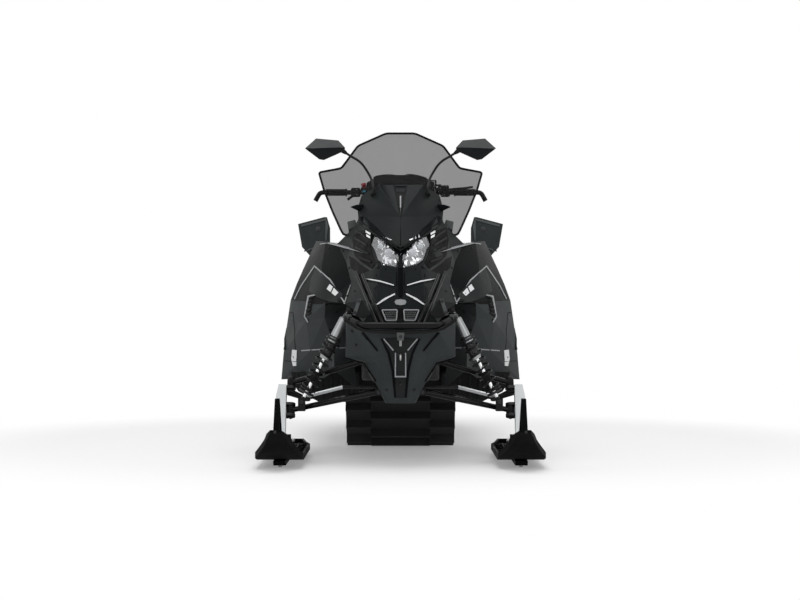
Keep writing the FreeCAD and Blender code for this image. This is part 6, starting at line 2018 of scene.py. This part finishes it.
class SNOW_OT_tail(Operator):
    """Console, rack, tail bumper, snow flap and tail lamp"""

    bl_idname = "snow.tail"
    bl_label = "Console and tail"

    def execute(self, context):
        dress("console", "dark panel", 0.018, 4)
        self.console()
        for name in ("rear_rack", "tail_bumper"):
            dress(name, "powder coat", 0.001)
        dress("snow_flap", "flap rubber", 0.003, 3)
        dress("tail_lamp", "red lens", 0.004, 3)
        self.flap()
        self.lamp()
        return {"FINISHED"}

    def console(self):
        """Fuel cap, key switch and the covers on the console's flanks."""
        top = Surface("console")
        at, way = top.hit(Vector((0, -0.39, 1.5)), -Z)
        with draft("fuel_neck", "gloss panel", crease=30) as bm:
            lathe(
                bm,
                [(-0.003, 0), (-0.003, 0.062), (0.004, 0.062), (0.006, 0.058), (0.006, 0.044), (0.006, 0.0)],
                at, way, 48,
            )
        with draft("fuel_cap", "grained plastic", crease=30) as bm:
            lathe(bm, [(0.005, 0), (0.005, 0.043), (0.022, 0.041), (0.026, 0.037), (0.026, 0.0)], at, way, 48)
            side = way.cross(X).normalized()
            across = side.cross(way).normalized()
            for i in range(24):
                angle = math.radians(i * 15)
                spot = at + way * 0.014 + (across * math.cos(angle) + side * math.sin(angle)) * 0.042
                turn = Matrix((across, side, way)).transposed() @ Matrix.Rotation(angle, 3, "Z")
                block(bm, spot, (0.005, 0.006, 0.015), turn.to_quaternion(), 0.001, 1)
            block(
                bm, at + way * 0.03, (0.014, 0.066, 0.012),
                Matrix((across, side, way)).transposed().to_quaternion(), 0.004, 3,
            )
        at, way = top.hit(Vector((0.12, -0.30, 1.5)), -Z)
        with draft("key_switch", "zinc", crease=30) as bm:
            lathe(
                bm, [(-0.002, 0), (-0.002, 0.017), (0.004, 0.017), (0.006, 0.015), (0.006, 0.0)], at, way, 32,
            )
            block(bm, at + way * 0.012, (0.004, 0.022, 0.014), rounding=0.0012)
        flank = Flank("console")
        cover = [(-0.50, 0.60), (-0.16, 0.60), (-0.16, 0.74), (-0.30, 0.79), (-0.46, 0.84)]
        with draft("console_covers", "grained plastic", crease=25, both=True, rounding=0.0012) as bm:
            patch(bm, flank, cover, lift=0.0004, wall=0.003, cells=6)
        with draft("console_bolts", "black zinc", both=True) as bm:
            places = ((-0.485, 0.615), (-0.175, 0.615), (-0.175, 0.73), (-0.45, 0.82))
            studs(bm, flank, places, bolt, 0.006, 0.003)

    def flap(self):
        """Ribs, bolts and the clamp of the snow flap."""
        flap = Surface("snow_flap")
        with draft("flap_bolts", "zinc") as bm:
            for i in range(5):
                x = -0.19 + 0.095 * i
                at, way = flap.hit(Vector((x, 2.4, 0.52)), -Y)
                bolt(bm, at, way, 0.008)
        with draft("flap_ribs", "flap rubber") as bm:
            for i in range(7):
                x = -0.18 + 0.06 * i
                a, way = flap.hit(Vector((x, 2.4, 0.46)), -Y)
                b, _ = flap.hit(Vector((x, 2.4, 0.23)), -Y)
                cylinder(bm, a + way * 0.0005, b + way * 0.0005, 0.0045, 10)
        a, way = flap.hit(Vector((0, 2.4, 0.555)), -Y)
        with draft("flap_clamp", "bare alloy") as bm:
            block(bm, a + way * 0.003, (0.43, 0.03, 0.005), way.to_track_quat("Z", "Y"), 0.0015)

    def lamp(self):
        """Plastic ends of the tail lamp."""
        low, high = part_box("tail_lamp")
        middle = (low + high) / 2
        size = (0.014, high.y - low.y, high.z - low.z)
        with draft("tail_lamp_ends", "grained plastic") as bm:
            for x in (-high.x - 0.007, high.x + 0.007):
                block(bm, Vector((x, middle.y, middle.z)), size, rounding=0.004, segments=3)


class SNOW_OT_drive(Operator):
    """Track, slide rails, wheels, tunnel and running boards"""

    bl_idname = "snow.drive"
    bl_label = "Track, wheels and tunnel"

    def execute(self, context):
        for name, label, rounding in (
            ("tunnel", "powder coat", 0.003),
            ("running_boards", "powder coat", 0.0012),
            ("track", "track rubber", 0.0025),
            ("slide_rails", "brushed alloy", 0.001),
            ("drive_shaft", "grained plastic", 0.001),
            ("suspension_links", "powder coat", 0.001),
            ("idler_wheels", "wheel plastic", 0.001),
            ("bulkhead", "powder coat", 0.0025),
            ("tower", "powder coat", 0.0025),
        ):
            dress(name, label, rounding)
        dress("engine", "engine casting", 0.012, 3)
        self.tread_webs()
        self.wheels()
        self.rivets()
        return {"FINISHED"}

    def tread_webs(self):
        """Rubber webs that carry the middle lugs on to the lines of the side lugs."""
        belt = frame["nodes"]["track"].data
        spots = [v.co for v in belt.vertices]
        edge = max(p.x for p in spots if p.x < 0.12)
        with draft("tread_webs", "track rubber") as bm:
            for cell in belt.polygons:
                corners = [spots[i] for i in cell.vertices]
                if all(abs(p.x - edge) < 1e-4 for p in corners):
                    near = [bm.verts.new(p - X * 0.002) for p in corners]
                    far = [bm.verts.new(p + X * 0.026) for p in corners]
                    bm.faces.new(near)
                    bm.faces.new(far[::-1])
                    for i, start in enumerate(near):
                        bm.faces.new([near[i - 1], far[i - 1], far[i], start])
            reflect(bm)
            bmesh.ops.recalc_face_normals(bm, faces=bm.faces[:])

    def wheels(self):
        """Tyres and bolts of the idler wheels."""
        rims = wheel_rims("idler_wheels")
        with draft("wheel_tyres", "wheel rubber", crease=40) as tyres:
            for low, high, y, z, radius in rims:
                half = (high - low) / 2 + 0.0008
                at = Vector(((low + high) / 2, y, z))
                lathe(
                    tyres,
                    [
                        (-half, radius - 0.011), (-half, radius - 0.002), (0.002 - half, radius + 0.0006),
                        (half - 0.002, radius + 0.0006), (half, radius - 0.002), (half, radius - 0.011),
                    ],
                    at, X, 40,
                )
        with draft("wheel_bolts", "zinc") as hubs:
            for low, high, y, z, radius in rims:
                at = Vector(((low + high) / 2, y, z))
                outward = X if at.x > 0 else -X
                for i in range(5):
                    angle = 2 * math.pi * i / 5
                    spot = at + Vector((0, math.cos(angle), math.sin(angle))) * radius * 0.42
                    bolt(hubs, spot + outward * ((high - low) / 2 + 0.0008) * 0.6, outward, 0.006)

    def rivets(self):
        """Rivets of the tunnel and teeth of the running boards."""
        with draft("tunnel_rivets", "zinc", crease=40) as bm:
            low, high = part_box("tunnel")
            skin = Surface("tunnel")
            for i in range(34):
                y = low.y + 0.06 + i * (high.y - low.y - 0.12) / 33
                for z in (0.36, 0.515):
                    for sign in (-1, 1):
                        at, way = skin.hit(Vector((sign, y, z)), X * -sign)
                        rivet(bm, at, way, 0.0055)
            for i in range(12):
                y = 0.86 + i * 0.05
                for x in (-0.2, 0.2):
                    at, way = skin.hit(Vector((x, y, 1.2)), -Z)
                    rivet(bm, at, way, 0.0055)
        with draft("board_teeth", "powder coat") as teeth:
            low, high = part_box("running_boards")
            boards = Surface("running_boards")
            for sign in (-1, 1):
                for i in range(50):
                    y = low.y + 0.05 + i * (high.y - low.y - 0.1) / 49
                    at, _ = boards.hit(Vector((sign * (high.x - 0.022), y, 0.7)), -Z)
                    if at.z > 0.25:
                        cylinder(teeth, at, at + Z * 0.006, 0.006, 6, 0.0035)


class SNOW_PT_pieces(Panel):
    """Lists the steps that build the machine"""

    bl_label = "Touring snowmobile"
    bl_idname = "SNOW_PT_pieces"
    bl_space_type = "VIEW_3D"
    bl_region_type = "UI"
    bl_category = "Snowmobile"

    def draw(self, context):
        layout = self.layout
        for group in SETTINGS:
            settings = getattr(context.scene, group)
            box = layout.box()
            for key in settings.__annotations__:
                box.prop(settings, key)
        for step in STEPS:
            layout.operator(step.bl_idname)


STEPS = [
    SNOW_OT_stage,
    SNOW_OT_drive,
    SNOW_OT_front_suspension,
    SNOW_OT_skis,
    SNOW_OT_nose,
    SNOW_OT_side_panels,
    SNOW_OT_headlamps,
    SNOW_OT_bumper,
    SNOW_OT_windshield,
    SNOW_OT_mirrors,
    SNOW_OT_cockpit,
    SNOW_OT_seat,
    SNOW_OT_tail,
]
SETTINGS = {
    "snow_look": SnowLook,
    "snow_screen": SnowScreen,
    "snow_suspension": SnowSuspension,
    "snow_seat": SnowSeat,
    "snow_stage": SnowStage,
}
CLASSES = [*SETTINGS.values(), *STEPS, SNOW_PT_pieces]


def register():
    for kind in CLASSES:
        bpy.utils.register_class(kind)
    for key, kind in SETTINGS.items():
        setattr(bpy.types.Scene, key, PointerProperty(type=kind))


def unregister():
    for key in SETTINGS:
        delattr(bpy.types.Scene, key)
    for kind in reversed(CLASSES):
        bpy.utils.unregister_class(kind)


def build_snowmobile():
    """Runs every step."""
    register()
    for step in STEPS:
        group, name = step.bl_idname.split(".")
        getattr(getattr(bpy.ops, group), name)()


if __name__ == "__main__":
    build_snowmobile()
